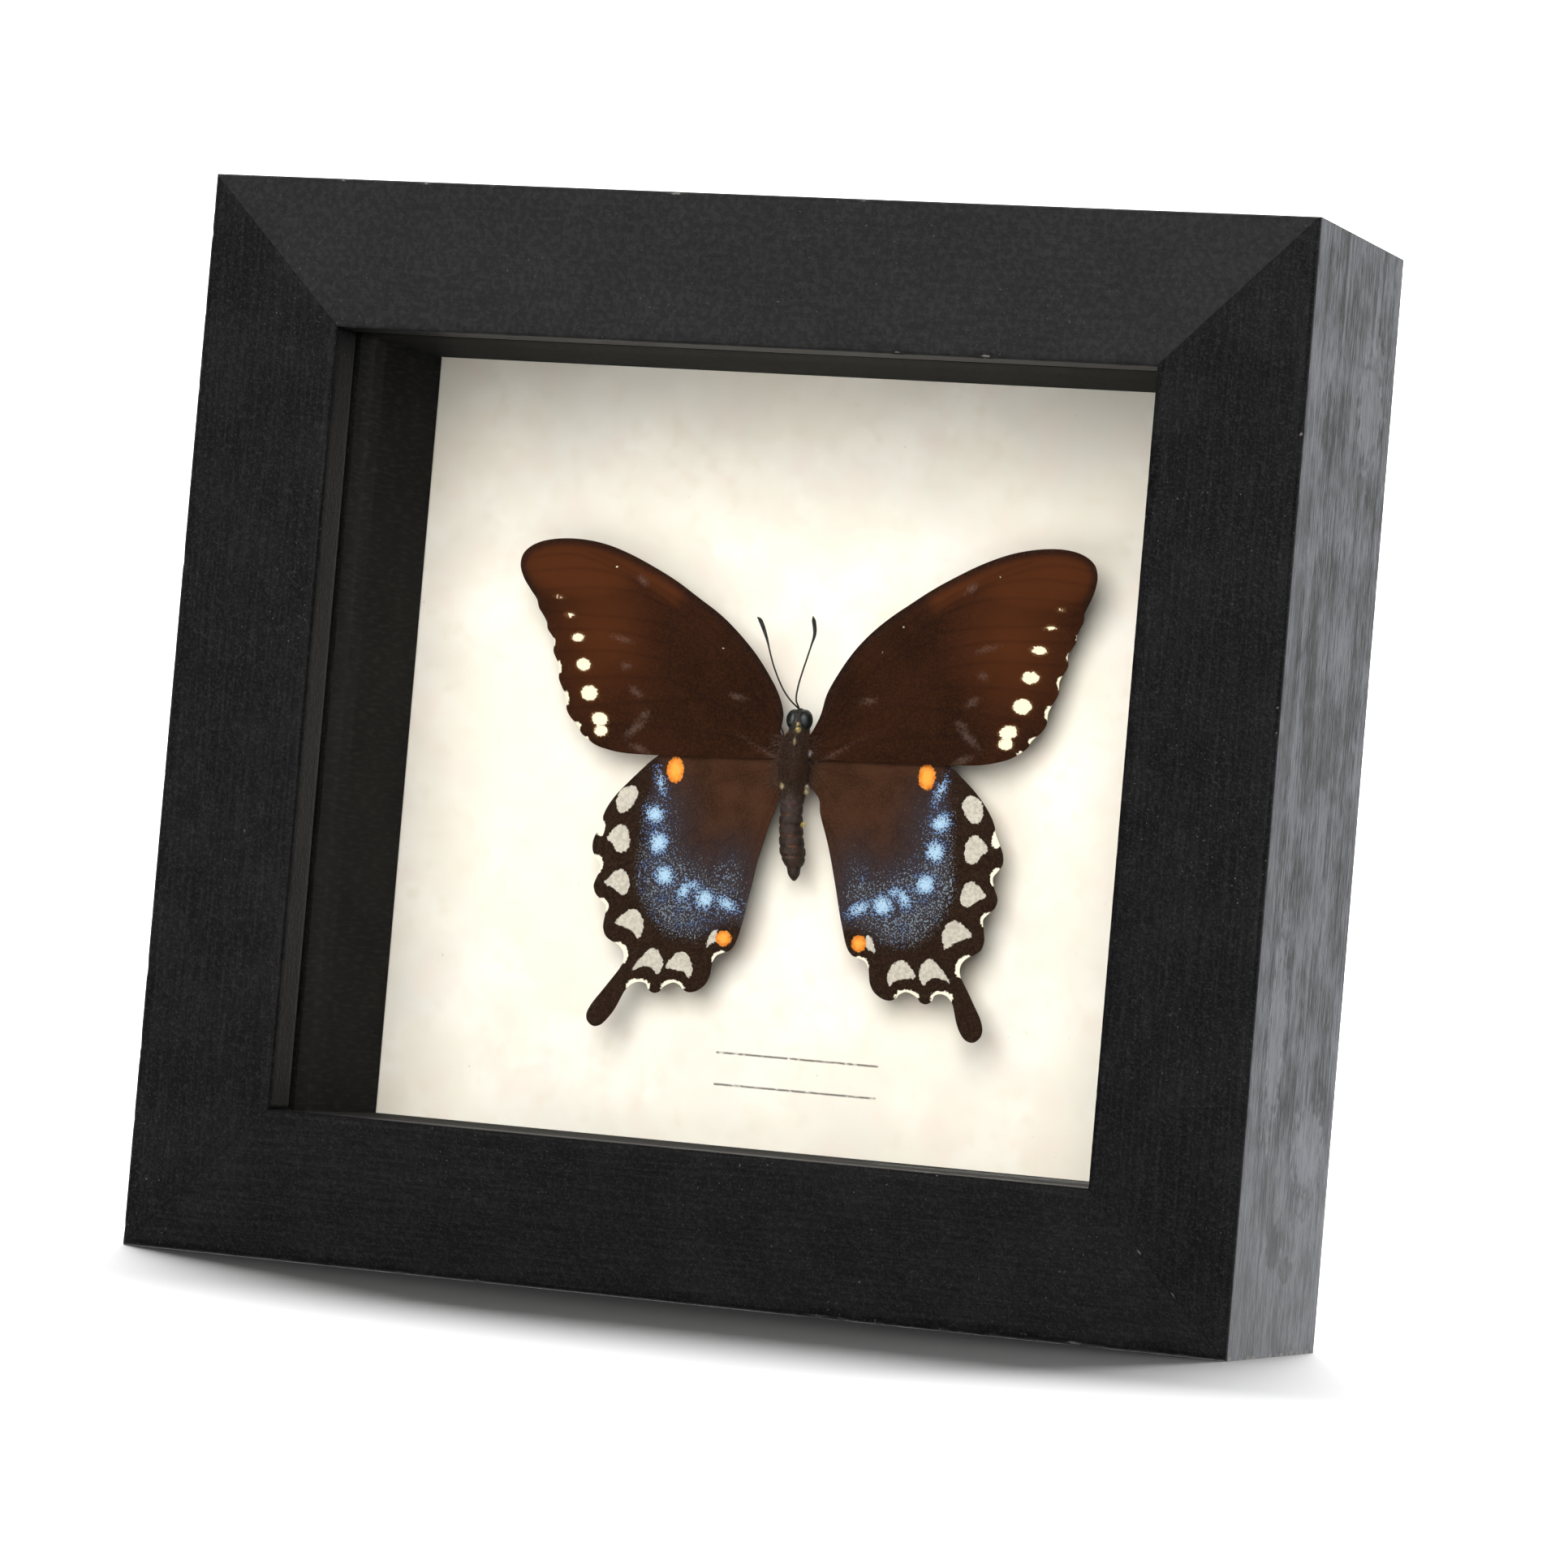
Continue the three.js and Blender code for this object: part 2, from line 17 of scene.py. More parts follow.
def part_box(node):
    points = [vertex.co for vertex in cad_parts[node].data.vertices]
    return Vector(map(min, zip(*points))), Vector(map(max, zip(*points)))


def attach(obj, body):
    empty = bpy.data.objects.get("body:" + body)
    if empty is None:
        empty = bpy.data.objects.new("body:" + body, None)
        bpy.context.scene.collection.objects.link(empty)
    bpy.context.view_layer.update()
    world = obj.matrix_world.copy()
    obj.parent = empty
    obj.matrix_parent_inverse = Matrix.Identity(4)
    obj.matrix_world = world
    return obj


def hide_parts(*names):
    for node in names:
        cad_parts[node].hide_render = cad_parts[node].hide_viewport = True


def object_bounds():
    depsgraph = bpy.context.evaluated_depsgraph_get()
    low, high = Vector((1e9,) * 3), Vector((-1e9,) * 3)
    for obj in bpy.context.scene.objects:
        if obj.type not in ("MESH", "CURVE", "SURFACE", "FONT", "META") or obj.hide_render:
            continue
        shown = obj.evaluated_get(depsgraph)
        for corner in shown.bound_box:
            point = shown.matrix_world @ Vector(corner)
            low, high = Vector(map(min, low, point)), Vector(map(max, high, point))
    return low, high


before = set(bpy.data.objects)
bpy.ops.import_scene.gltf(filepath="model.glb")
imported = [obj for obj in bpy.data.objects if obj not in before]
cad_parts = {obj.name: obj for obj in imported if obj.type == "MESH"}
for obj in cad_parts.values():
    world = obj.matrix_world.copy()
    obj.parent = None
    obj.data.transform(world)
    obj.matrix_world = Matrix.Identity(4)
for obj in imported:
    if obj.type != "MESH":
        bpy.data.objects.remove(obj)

MM = 0.001
solid_box = [list(corner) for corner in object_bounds()]
case_low, case_high = (Vector(corner) / MM for corner in solid_box)
print(len(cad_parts), "solids, box in mm", [round(side, 2) for side in case_high - case_low])

# %% [markdown]
# ## The camera
# The case is seen from a little right of its middle and from low down, through a long lens, so
# its left lining shows and its sides hardly converge. The camera is set at a given place and turned
# by three plain angles: round the upright axis, up from straight down, and a small roll.

# %% Camera
CAMERA_PLACE = (332.476, -871.884, 49.116)
CAMERA_TURNS = {"Z": 20.645208, "X": 91.6929, "roll": 4.895612}
LENS = 144.475
SENSOR = 36
SEES_AS_FAR_AS = 20  # metres


def new_object(name, data):
    """An object in the scene, made from its data."""
    made = bpy.data.objects.new(name, data)
    bpy.context.collection.objects.link(made)
    return made


camera = new_object("camera", bpy.data.cameras.new("camera"))
camera.data.lens = LENS
camera.data.sensor_width = SENSOR
camera.data.clip_end = SEES_AS_FAR_AS
camera.matrix_world = (
    Matrix.Translation(Vector(CAMERA_PLACE) * MM)
    @ Matrix.Rotation(math.radians(CAMERA_TURNS["Z"]), 4, "Z")
    @ Matrix.Rotation(math.radians(CAMERA_TURNS["X"]), 4, "X")
    @ Matrix.Rotation(math.radians(CAMERA_TURNS["roll"]), 4, "Z")
)
bpy.context.scene.camera = camera
print("camera", [round(value) for value in CAMERA_PLACE], "mm, lens", LENS)

# %% [markdown]
# ## Finishes and pieces
# Every finish is a small set of nodes round one Principled shader. A class with a method for each
# kind of node keeps the recipes short: a method adds its node and hands back the output, so that a
# recipe reads like a sentence. Colours are written as they look on a screen, from 0 to 255, and
# sizes in millimetres.

# %% Nodes and colours
def screen(red, green, blue):
    """A screen colour in the linear numbers that the shaders use."""
    shares = (value / 255 for value in (red, green, blue))
    linear = [s / 12.92 if s <= 0.04045 else ((s + 0.055) / 1.055) ** 2.4 for s in shares]
    return (*linear, 1.0)


def give(tree, target, value):
    """Links a socket to another node's output, or sets its number."""
    if isinstance(value, bpy.types.NodeSocket):
        tree.links.new(value, target)
    else:
        target.default_value = value


def add_node(tree, kind, sockets, out=0, **settings):
    """Adds a node to a tree and hands back one of its outputs."""
    node = tree.nodes.new(kind)
    for key, value in settings.items():
        setattr(node, key, value)
    for socket, value in sockets.items():
        give(tree, node.inputs[socket], value)
    return node.outputs[out]


print("middle grey is", round(screen(128, 128, 128)[0], 3), "in linear numbers")

# %% The finish class
class Finish:
    """A material that is mixed one node at a time."""

    def __init__(self, name, values=()):
        self.material = bpy.data.materials.new(name)
        self.material.use_nodes = True
        self.tree = self.material.node_tree
        self.shader = self.tree.nodes["Principled BSDF"]
        for socket, value in dict(values).items():
            self.set(socket, value)

    def set(self, socket, value):
        """Sets or links one of the shader's own sockets."""
        give(self.tree, self.shader.inputs[socket], value)

    def add(self, kind, sockets, out=0, **settings):
        return add_node(self.tree, kind, sockets, out, **settings)

    def place(self):
        return self.add("ShaderNodeTexCoord", {}, out="Object")

    def around(self):
        """The piece's own UV map, laid out at real size."""
        return self.add("ShaderNodeUVMap", {})

    def mark(self, name):
        """A value that the piece's mesh carries."""
        return self.add("ShaderNodeAttribute", {}, out="Fac", attribute_name=name)

    def noise(self, where, size, detail=3.0, stretch=(1, 1, 1)):
        moved = self.add("ShaderNodeMapping", {"Vector": where, "Scale": stretch})
        sockets = {"Vector": moved, "Scale": 1 / (size * MM), "Detail": detail}
        return self.add("ShaderNodeTexNoise", sockets)

    def cells(self, where, size):
        sockets = {"Vector": where, "Scale": 1 / (size * MM)}
        return self.add("ShaderNodeTexVoronoi", sockets, out="Distance")

    def between(self, value, low, high):
        """0 up to low, 1 from high on, with a soft step between them."""
        sockets = {"Value": value, "From Min": low, "From Max": high}
        return self.add("ShaderNodeMapRange", sockets, interpolation_type="SMOOTHSTEP")

    def calc(self, operation, first, second=0.0):
        return self.add("ShaderNodeMath", {0: first, 1: second}, operation=operation)

    def sum_of(self, *weighted):
        """Some values added up, each with its weight."""
        total = 0.0
        for value, weight in weighted:
            total = self.calc("ADD", total, self.calc("MULTIPLY", value, weight))
        return total

    def mix(self, share, first, second):
        return self.add("ShaderNodeMix", {0: share, 6: first, 7: second}, out=2, data_type="RGBA")

    def tint(self, base, share, strength, red, green, blue):
        """Lays a screen colour over the base: as much as the share says, at most the strength."""
        return self.mix(self.calc("MULTIPLY", share, strength), base, screen(red, green, blue))

    def axis(self, where, letter):
        return self.add("ShaderNodeSeparateXYZ", {0: where}, out=letter)

    def emboss(self, height, depth, strength=1.0):
        sockets = {"Height": height, "Distance": depth * MM, "Strength": strength}
        self.set("Normal", self.add("ShaderNodeBump", sockets))

    def done(self, base_color, roughness=None):
        self.set("Base Color", base_color)
        if roughness is not None:
            self.set("Roughness", roughness)
        return self.material


print("the finish class is ready")

# %% The piece helpers
def new_mesh(name, points, edges=(), faces=()):
    """A mesh from points in millimetres."""
    mesh = bpy.data.meshes.new(name)
    mesh.from_pydata(np.asarray(points) * MM, edges, faces)
    return mesh


def note(mesh, name, values):
    """Stores a number or a vector at each point of a mesh, for a finish or a tree to read."""
    values = np.asarray(values, np.float32)
    kind, field = ("FLOAT", "value") if values.ndim == 1 else ("FLOAT_VECTOR", "vector")
    mesh.attributes.new(name, kind, "POINT").data.foreach_set(field, values.ravel())


def join(piece):
    """Makes a mesh a part of the object, and prints how fine it is."""
    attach(piece, "root")
    piece.data.calc_loop_triangles()
    print(piece.name, len(piece.data.loop_triangles), "triangles")
    return piece


def add_piece(name, points, faces, material, smooth=40):
    """A piece of the case or the specimen. Edges sharper than smooth, in degrees, stay sharp."""
    piece = new_object(name, new_mesh(name, points, faces=faces))
    piece.data.materials.append(material)
    piece.data.shade_smooth()
    piece.data.set_sharp_from_angle(angle=math.radians(smooth))
    return join(piece)


def dress(material, *nodes):
    """Gives solids from the frame a finish."""
    for node in nodes:
        solid = bpy.data.objects[node]
        solid.data.materials.clear()
        solid.data.materials.append(material)
    print("dressed", ", ".join(nodes))


print("pieces are made in millimetres, at", MM, "metres each")

# %% [markdown]
# ## Floor and light
# The case stands on a plain sheet in a bright room: one soft lamp from the front, a little left
# and above, and a bright surround behind and overhead. The side that the camera looks from stays
# dim, because the glass shows a mirror image of it and would turn milky. The lamp is a sun with a
# wide disc, so the lip of the case throws a soft shadow on the board. The sheet is pale grey and
# has a strong lamp of its own, from behind: it shows white where that lamp reaches it and dark in
# the shadow at the foot of the case. Light linking gives each lamp only its own part to light.

# %% Floor and lamps
FLOOR = {"radius": 780, "sides": 96}
KEY = {"azimuth": 4, "elevation": 21, "spread": 48, "strength": 3.55}
FLOOR_LAMP = {"azimuth": 202, "elevation": 46, "spread": 44, "strength": 52}

sheet = {"Base Color": screen(112, 112, 112), "Roughness": 0.95, "Specular IOR Level": 0.0}
rim = [2 * math.pi * side / FLOOR["sides"] for side in range(FLOOR["sides"])]
floor_points = [(FLOOR["radius"] * math.cos(turn), FLOOR["radius"] * math.sin(turn), 0) for turn in rim]
floor = new_object("floor", new_mesh("floor", floor_points, faces=[range(FLOOR["sides"])]))
floor.data.materials.append(Finish("pale_sheet", sheet).material)
floor.visible_glossy = False


def lamp(name, values):
    """A sun with a wide disc, from so many degrees round and so many up."""
    sun = new_object(name, bpy.data.lights.new(name, "SUN"))
    sun.data.energy = values["strength"]
    sun.data.angle = math.radians(values["spread"])
    sun.matrix_world = (
        Matrix.Rotation(math.radians(values["azimuth"]), 4, "Z")
        @ Matrix.Rotation(math.radians(90 - values["elevation"]), 4, "X")
    )
    print(name, "from", values["azimuth"], "degrees round,", values["elevation"], "degrees up")
    return sun


for sun, state in ((lamp("key", KEY), "EXCLUDE"), (lamp("floor_lamp", FLOOR_LAMP), "INCLUDE")):
    linked = bpy.data.collections.new(f"floor_and_{sun.name}")
    linked.objects.link(floor)
    linked.collection_objects[0].light_linking.link_state = state
    sun.light_linking.receiver_collection = linked

# %% Surround
DIM_SIDE = 0.02
BRIGHT_SIDE = 2.5
OVERHEAD = 0.6
BEHIND = (-0.25, 0.45)  # where the surround turns bright, from the front to the back
ABOVE = (0.35, 0.95)  # the same, from the horizon to straight up

world = bpy.data.worlds.new("surround")
bpy.context.scene.world = world
world.use_nodes = True
sky = world.node_tree


def sky_ramp(letter, limits, dark, bright):
    """A soft step from dark to bright while a part of the direction passes its limits."""
    direction = add_node(sky, "ShaderNodeTexCoord", {}, out="Generated")
    value = add_node(sky, "ShaderNodeSeparateXYZ", {0: direction}, out=letter)
    sockets = {"Value": value, "From Min": limits[0], "From Max": limits[1]}
    sockets.update({"To Min": dark, "To Max": bright})
    return add_node(sky, "ShaderNodeMapRange", sockets, interpolation_type="SMOOTHSTEP")


behind, above = sky_ramp("Y", BEHIND, DIM_SIDE, BRIGHT_SIDE), sky_ramp("Z", ABOVE, 0.0, OVERHEAD)
surround = add_node(sky, "ShaderNodeMath", {0: behind, 1: above}, operation="MAXIMUM")
seen = add_node(sky, "ShaderNodeLightPath", {}, out="Is Camera Ray")
shown = add_node(sky, "ShaderNodeMath", {0: surround, 1: seen}, operation="MAXIMUM")
background = sky.nodes["Background"].inputs
give(sky, background["Strength"], shown)
give(sky, background["Color"], (1, 1, 1, 1))
bpy.context.scene.view_settings.view_transform = "Standard"
print("surround from", DIM_SIDE, "in front to", BRIGHT_SIDE, "behind")

# %% [markdown]
# ## The four rails
# Each rail is a length of moulding with a lip in front and a rebate behind, sawn at 45 degrees at
# both ends. A sweep of the section between two mitre planes is the quickest way to make one, and
# it gives a clean UV map along the wood for nothing. The section's corners are small arcs, since
# real paint never ends in a knife edge, and the steps are fine enough to carry small nicks.

# %% The moulding's section
rail_low, rail_high = (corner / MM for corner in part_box("frame_rail_left"))
RAIL_FACE = rail_high.x - rail_low.x
RAIL_DEPTH = rail_high.y - rail_low.y
FRONT_Y = rail_low.y
CASE_WIDTH = case_high.x - case_low.x
CASE_HEIGHT = case_high.z - case_low.z
LIP_DEPTH = 7
REBATE = 5
SECTION_STEP = 1.1
ARC_STEPS = 4
WEARS_FROM = 0.4  # corners rounder than this take nicks

# across from the outer face, back from the front face, radius of the corner
SECTION_CORNERS = [
    (0, 0, 0.8),
    (RAIL_FACE, 0, 0.55),
    (RAIL_FACE, LIP_DEPTH, 0.3),
    (RAIL_FACE - REBATE, LIP_DEPTH, 0.1),
    (RAIL_FACE - REBATE, RAIL_DEPTH, 0.3),
    (0, RAIL_DEPTH, 0.6),
]


def rounded_section():
    """The section's points in order, and how much of a corner each one is, from 0 to 1."""
    points, corner_share = [], []
    count = len(SECTION_CORNERS)
    for index, (across, back, radius) in enumerate(SECTION_CORNERS):
        corner = Vector((across, back))
        before = (Vector(SECTION_CORNERS[index - 1][:2]) - corner).normalized()
        after = (Vector(SECTION_CORNERS[(index + 1) % count][:2]) - corner).normalized()
        for step in range(ARC_STEPS + 1):
            turn = math.pi / 2 * step / ARC_STEPS
            on_arc = before * (1 - math.sin(turn)) + after * (1 - math.cos(turn))
            points.append(corner + on_arc * radius)
            corner_share.append(math.sin(2 * turn) if radius > WEARS_FROM else 0)
        next_across, next_back, next_radius = SECTION_CORNERS[(index + 1) % count]
        goal = Vector((next_across, next_back)) - after * next_radius
        length = (goal - points[-1]).length
        pieces = max(1, round(length / SECTION_STEP))
        start = points[-1].copy()
        for step in range(1, pieces):
            points.append(start.lerp(goal, step / pieces))
            corner_share.append(0)
    return points, corner_share


section, corner_share = rounded_section()
print("moulding section of", len(section), "points")

# %% Faces between points
def bands(rings, around, closed=True):
    """Four-sided faces between rows of points, row after row. A closed row runs all the way round."""
    return [
        (ring * around + side, (ring + 1) * around + side,
         (ring + 1) * around + (side + 1) % around, ring * around + (side + 1) % around)
        for ring in range(rings - 1) for side in range(around if closed else around - 1)
    ]


def tube(rings, around):
    """The faces of a stack of rings, closed at both ends."""
    last = (rings - 1) * around
    ends = [tuple(range(around)), tuple(range(last, last + around))[::-1]]
    return bands(rings, around) + ends


def shifted(faces, by):
    """The same faces, on points that come later in the list."""
    return [tuple(by + corner for corner in face) for face in faces]


print("a tube of 3 rings of 8 points has", len(tube(3, 8)), "faces")

# %% Wear at the corners and ends
NICK = {"size": 0.55, "from": 0.3, "gain": 2.2, "depth": 0.35}
UNEVEN = {"size": 1.7, "depth": 0.05}
WORN_FOOT = {"from": 15, "height": 1.0, "edge": 1.3, "size": 0.4, "gain": 0.1}
CHIPS = {"size": 0.8, "below": 4, "share": 0.45, "gain": 1.2}
CRACK = {"from": 5, "to": 15, "size": 0.6}  # the stretch of the lower right mitre that has opened


def nick(point):
    """How deep the wood is worn at a corner: mostly nothing, here and there a small dent."""
    dent = max(0.0, noise.noise(point * NICK["size"]) - NICK["from"]) * NICK["gain"]
    if point.z < WORN_FOOT["height"] and point.x > WORN_FOOT["from"]:
        dent += max(0.0, noise.noise(point * WORN_FOOT["size"]) + WORN_FOOT["gain"])
    return NICK["depth"] * min(1.0, dent) + UNEVEN["depth"] * abs(noise.noise(point * UNEVEN["size"]))


def bare_wood(side, point, across, to_end):
    """How bare the wood is near the sawn ends: chips at the foot, and one mitre with a thin crack."""
    chips = opened = 0
    if point.z < CHIPS["below"] and point.x > 0 and across == 0:
        chips = max(0.0, noise.noise(point * CHIPS["size"]) + CHIPS["share"])
    on_mitre = side == "right" and to_end == 0 and point.z < RAIL_FACE
    if on_mitre and CRACK["from"] < across < CRACK["to"]:
        opened = 0.5 + noise.noise(point * CRACK["size"])
    return max(CHIPS["gain"] * chips * (1 - min(1, to_end / WORN_FOOT["edge"])), opened)


print("nicks up to", NICK["depth"], "mm deep")

# %% Rail meshes
MITRE_GAP = 0.03
LENGTH_STEP = 0.9
RAILS = {  # length, turn, middle of the outer face, how much its front is greyed as painted light from above
    "top": (CASE_WIDTH, 0, (0, CASE_HEIGHT), 0.62),
    "bottom": (CASE_WIDTH, math.pi, (0, 0), 0.1),
    "left": (CASE_HEIGHT, -math.pi / 2, (-CASE_WIDTH / 2, CASE_HEIGHT / 2), 0.06),
    "right": (CASE_HEIGHT, math.pi / 2, (CASE_WIDTH / 2, CASE_HEIGHT / 2), 0.0),
}


def rail(side, material):
    """Sweeps the section between the mitres, and notes where the paint is worn and how much painted
    light from above greys it.
    """
    length, turn, (x, z), grey_with_painted_light = RAILS[side]
    to_case = Matrix.Translation((x, FRONT_Y, z)) @ Matrix.Rotation(turn, 4, "Y")
    rings, around = round(length / LENGTH_STEP) + 1, len(section)
    middle = sum(section, Vector((0, 0))) / around
    points, wear = [], []
    for ring in range(rings):
        share = 2 * ring / (rings - 1) - 1
        for (across, back), corner in zip(section, corner_share):
            reach = length / 2 - across - MITRE_GAP
            point = to_case @ Vector((share * reach, back, -across))
            dent = corner * nick(point) if corner else 0.0
            if corner:
                inward = (middle - Vector((across, back))).normalized() * dent
                point = to_case @ Vector((share * reach, back + inward.y, -across - inward.x))
            points.append(point)
            to_end = (1 - abs(share)) * reach
            wear.append(max(dent / NICK["depth"], bare_wood(side, point, across, to_end)))
    faces = [(a, d, c, b) for a, b, c, d in bands(rings, around)]
    faces += [tuple(range(around))[::-1], tuple(range((rings - 1) * around, rings * around))]
    piece = add_piece(f"rail_{side}", points, faces, material, smooth=50)
    note(piece.data, "wear", wear)
    note(piece.data, "grey_with_painted_light", [grey_with_painted_light] * len(wear))
    unwrap_rail(piece, rings, length)
    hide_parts(f"frame_rail_{side}")


def unwrap_rail(piece, rings, length):
    """Lays the UV map out at real size: along the wood, and round the section."""
    around = len(section)
    steps = [(section[(b + 1) % around] - section[b]).length for b in range(around)]
    girth = np.concatenate([[0], np.cumsum(steps)])
    along = np.linspace(0, length, rings)
    a, b = (grid.ravel() for grid in np.meshgrid(range(rings - 1), range(around), indexing="ij"))
    side_uv = np.stack([
        np.stack([along[a], along[a], along[a + 1], along[a + 1]], 1),
        np.stack([girth[b], girth[b + 1], girth[b + 1], girth[b]], 1),
    ], -1).reshape(-1, 2)
    end_uv = np.array([tuple(point) for point in section])
    uv = np.concatenate([side_uv, end_uv[::-1], end_uv]) * MM
    piece.data.uv_layers.new(name="wood").data.foreach_set("uv", uv.ravel())


print("rails", [round(RAILS[side][0], 1) for side in RAILS], "mm long")

# %% [markdown]
# ## Black paint over wood
# The paint is thin and satin. On the front it looks like charcoal with fine dust and light flecks;
# on the long sides the grain of the wood shows through as streaks, and the grey shine of the bright
# room behind is painted into their colour as a pale grey sheen over the grain. The top rail's front
# is painted a lighter grey, as light from above. Streaks are a noise that is stretched along the UV
# map, dust is fine noise in object coordinates, and a thin paint film is worn through at the nicks.
# A few finger marks and a paler rubbed patch have named places on the right side.

# %% Marks on the right side
FINGER_MARKS = [  # back from the front face, height, half sizes, how clear the middle is
    (31, 22, 5.5, 2.6, 0.8), (20, 16, 4.0, 3.0, 0.0), (27, 12.5, 3.5, 1.6, 0.3), (24, 88, 8, 6, 0.2),
]
RUBBED_PATCHES = [(33, 30, 7, 6, 0.0), (12, 46, 4, 13, 0.0), (34, 138, 6, 9, 0.0)]
MARK_REACH = 10  # how deep under the face a mark still counts


def smears(paint, place, jitter, marks):
    """1 on the marks of the right side, 0 away from them."""
    found = 0.0
    for back, height, half_back, half_height, clear in marks:
        middle = (case_high.x * MM, (FRONT_Y + back) * MM, height * MM)
        sizes = tuple(1 / (size * MM) for size in (MARK_REACH, half_back, half_height))
        away = paint.add("ShaderNodeVectorMath", {0: place, 1: middle}, operation="SUBTRACT")
        scaled = paint.add("ShaderNodeVectorMath", {0: away, 1: sizes}, operation="MULTIPLY")
        reach = paint.add("ShaderNodeVectorMath", {0: scaled}, out="Value", operation="LENGTH")
        reach = paint.calc("ADD", reach, jitter)
        hollow = paint.calc("MULTIPLY", paint.between(reach, 0.95, 0.4), clear)
        mark = paint.calc("SUBTRACT", paint.between(reach, 1.3, 0.7), hollow)
        found = paint.calc("MAXIMUM", found, mark)
    return found


print(len(FINGER_MARKS), "finger marks and", len(RUBBED_PATCHES), "rubbed patches")

# %% Painted grey sheen of the sides
SIDE_ENDS = sum((b - a).length for a, b in zip(section, section[1:])) * MM
SIDE_STARTS = SIDE_ENDS - RAIL_DEPTH * MM
STREAKS = (0.42, 0.58)  # the streak values from dark to light


def streaks(paint, along, place):
    """Wood grain under the paint: long fine streaks, straight bands, short dashes and soft clouds."""
    fine = paint.noise(along, 0.5, 4, stretch=(0.03, 1, 1))
    band = paint.noise(along, 2.4, 3, stretch=(0.015, 1, 1))
    dash = paint.noise(along, 0.7, 4, stretch=(0.22, 1, 1))
    cloud = paint.noise(place, 8, 8)
    return paint.sum_of((fine, 0.28), (band, 0.2), (dash, 0.27), (cloud, 0.25))


def side_painted_sheen_and_marks(paint, along, place, streak):
    """A painted grey sheen streaked by the grain, a paler strip by the front edge, painted light
    towards the foot, and the marks of use.
    """
    # painted sheen: a pale grey in the colour itself, streaked by the grain
    grey_with_painted_light = paint.mix(paint.between(streak, *STREAKS), screen(12, 12, 14), screen(75, 77, 83))
    by_the_front = paint.between(paint.axis(along, "Y"), SIDE_ENDS - 5 * MM, SIDE_ENDS - 3 * MM)
    grey_with_painted_light = paint.tint(grey_with_painted_light, by_the_front, 0.3, 86, 88, 93)
    # painted light: paler towards the foot
    foot = paint.between(paint.axis(place, "Z"), 48 * MM, 4 * MM)
    grey_with_painted_light = paint.tint(grey_with_painted_light, foot, 0.36, 96, 97, 101)
    jitter = paint.calc("MULTIPLY", paint.calc("SUBTRACT", paint.noise(place, 1.6, 8), 0.5), 2.4)
    grey_with_painted_light = paint.tint(grey_with_painted_light, smears(paint, place, jitter, RUBBED_PATCHES), 0.4, 104, 106, 111)
    return paint.tint(grey_with_painted_light, smears(paint, place, jitter, FINGER_MARKS), 0.6, 22, 22, 24)


print("the side face lies from", round(SIDE_STARTS / MM, 1), "to", round(SIDE_ENDS / MM, 1), "mm round")

# %% Black paint
def black_paint():
    paint = Finish("black_paint", {"Specular IOR Level": 0.05})
    place, along = paint.place(), paint.around()
    grain = paint.noise(along, 0.5, 6, stretch=(0.035, 1, 1))
    cloud, dust, grit = paint.noise(place, 9, 4), paint.noise(place, 0.3, 3), paint.noise(place, 0.9, 6)
    flecked = paint.between(paint.noise(place, 22, 2), 0.45, 0.62)
    fleck = paint.calc("MULTIPLY", paint.between(paint.noise(place, 0.55, 4), 0.66, 0.72), flecked)
    base = paint.mix(paint.between(cloud, 0.35, 0.7), screen(9, 9, 10), screen(17, 17, 18))
    # painted light from above: the top rail's front is greyed most, the others barely
    base = paint.tint(base, paint.mark("grey_with_painted_light"), 0.55, 56, 56, 56)
    base = paint.tint(base, paint.between(grain, 0.42, 0.68), 0.16, 50, 49, 49)
    base = paint.tint(base, paint.between(dust, 0.45, 0.72), 0.4, 46, 46, 46)
    base = paint.tint(base, paint.between(grit, 0.62, 0.42), 0.3, 5, 5, 6)
    base = paint.tint(base, fleck, 0.4, 112, 110, 106)
    soft = 0.3 * MM
    side = paint.between(paint.axis(along, "Y"), SIDE_STARTS - soft, SIDE_STARTS + soft)
    streak = streaks(paint, along, place)
    # the outer faces take the painted grey sheen, with the grain and the marks
    base = paint.mix(side, base, side_painted_sheen_and_marks(paint, along, place, streak))
    worn = paint.calc("ADD", paint.mark("wear"), paint.calc("MULTIPLY", dust, 0.5))
    base = paint.tint(base, paint.between(worn, 0.75, 0.95), 0.7, 120, 116, 110)
    paint.emboss(paint.sum_of((grain, 0.35), (dust, 0.8), (grit, 1.0), (fleck, 0.8)), 0.1, 0.8)
    return paint.done(base, satin(paint, side, streak))


def satin(paint, side, streak):
    """How rough the paint is: a little smoother on the sides, most of all on the pale streaks."""
    limits = {"From Min": STREAKS[0], "From Max": STREAKS[1], "To Min": 0.5, "To Max": 0.42}
    shine = paint.add("ShaderNodeMapRange", {"Value": streak, **limits})
    return paint.add("ShaderNodeMix", {0: side, 2: 0.46, 3: shine}, data_type="FLOAT")


painted = black_paint()
for rail_side in RAILS:
    rail(rail_side, painted)

# %% [markdown]
# ## Glass
# The pane is a plain sheet of clear glass, so its solid stays. A Principled shader with full
# transmission makes it. Lamp light and soft bounced light skip the pane, since a flat sheet
# hardly changes them; only what looks straight at it sees its reflections.

# %% Glass
clear = {"Base Color": (1, 1, 1, 1), "Roughness": 0.0, "IOR": 1.5, "Transmission Weight": 1.0}
glass = Finish("clear_glass", clear)
dress(glass.material, "glass_pane")
pane = bpy.data.objects["glass_pane"]
pane.visible_shadow = False
pane.visible_diffuse = False

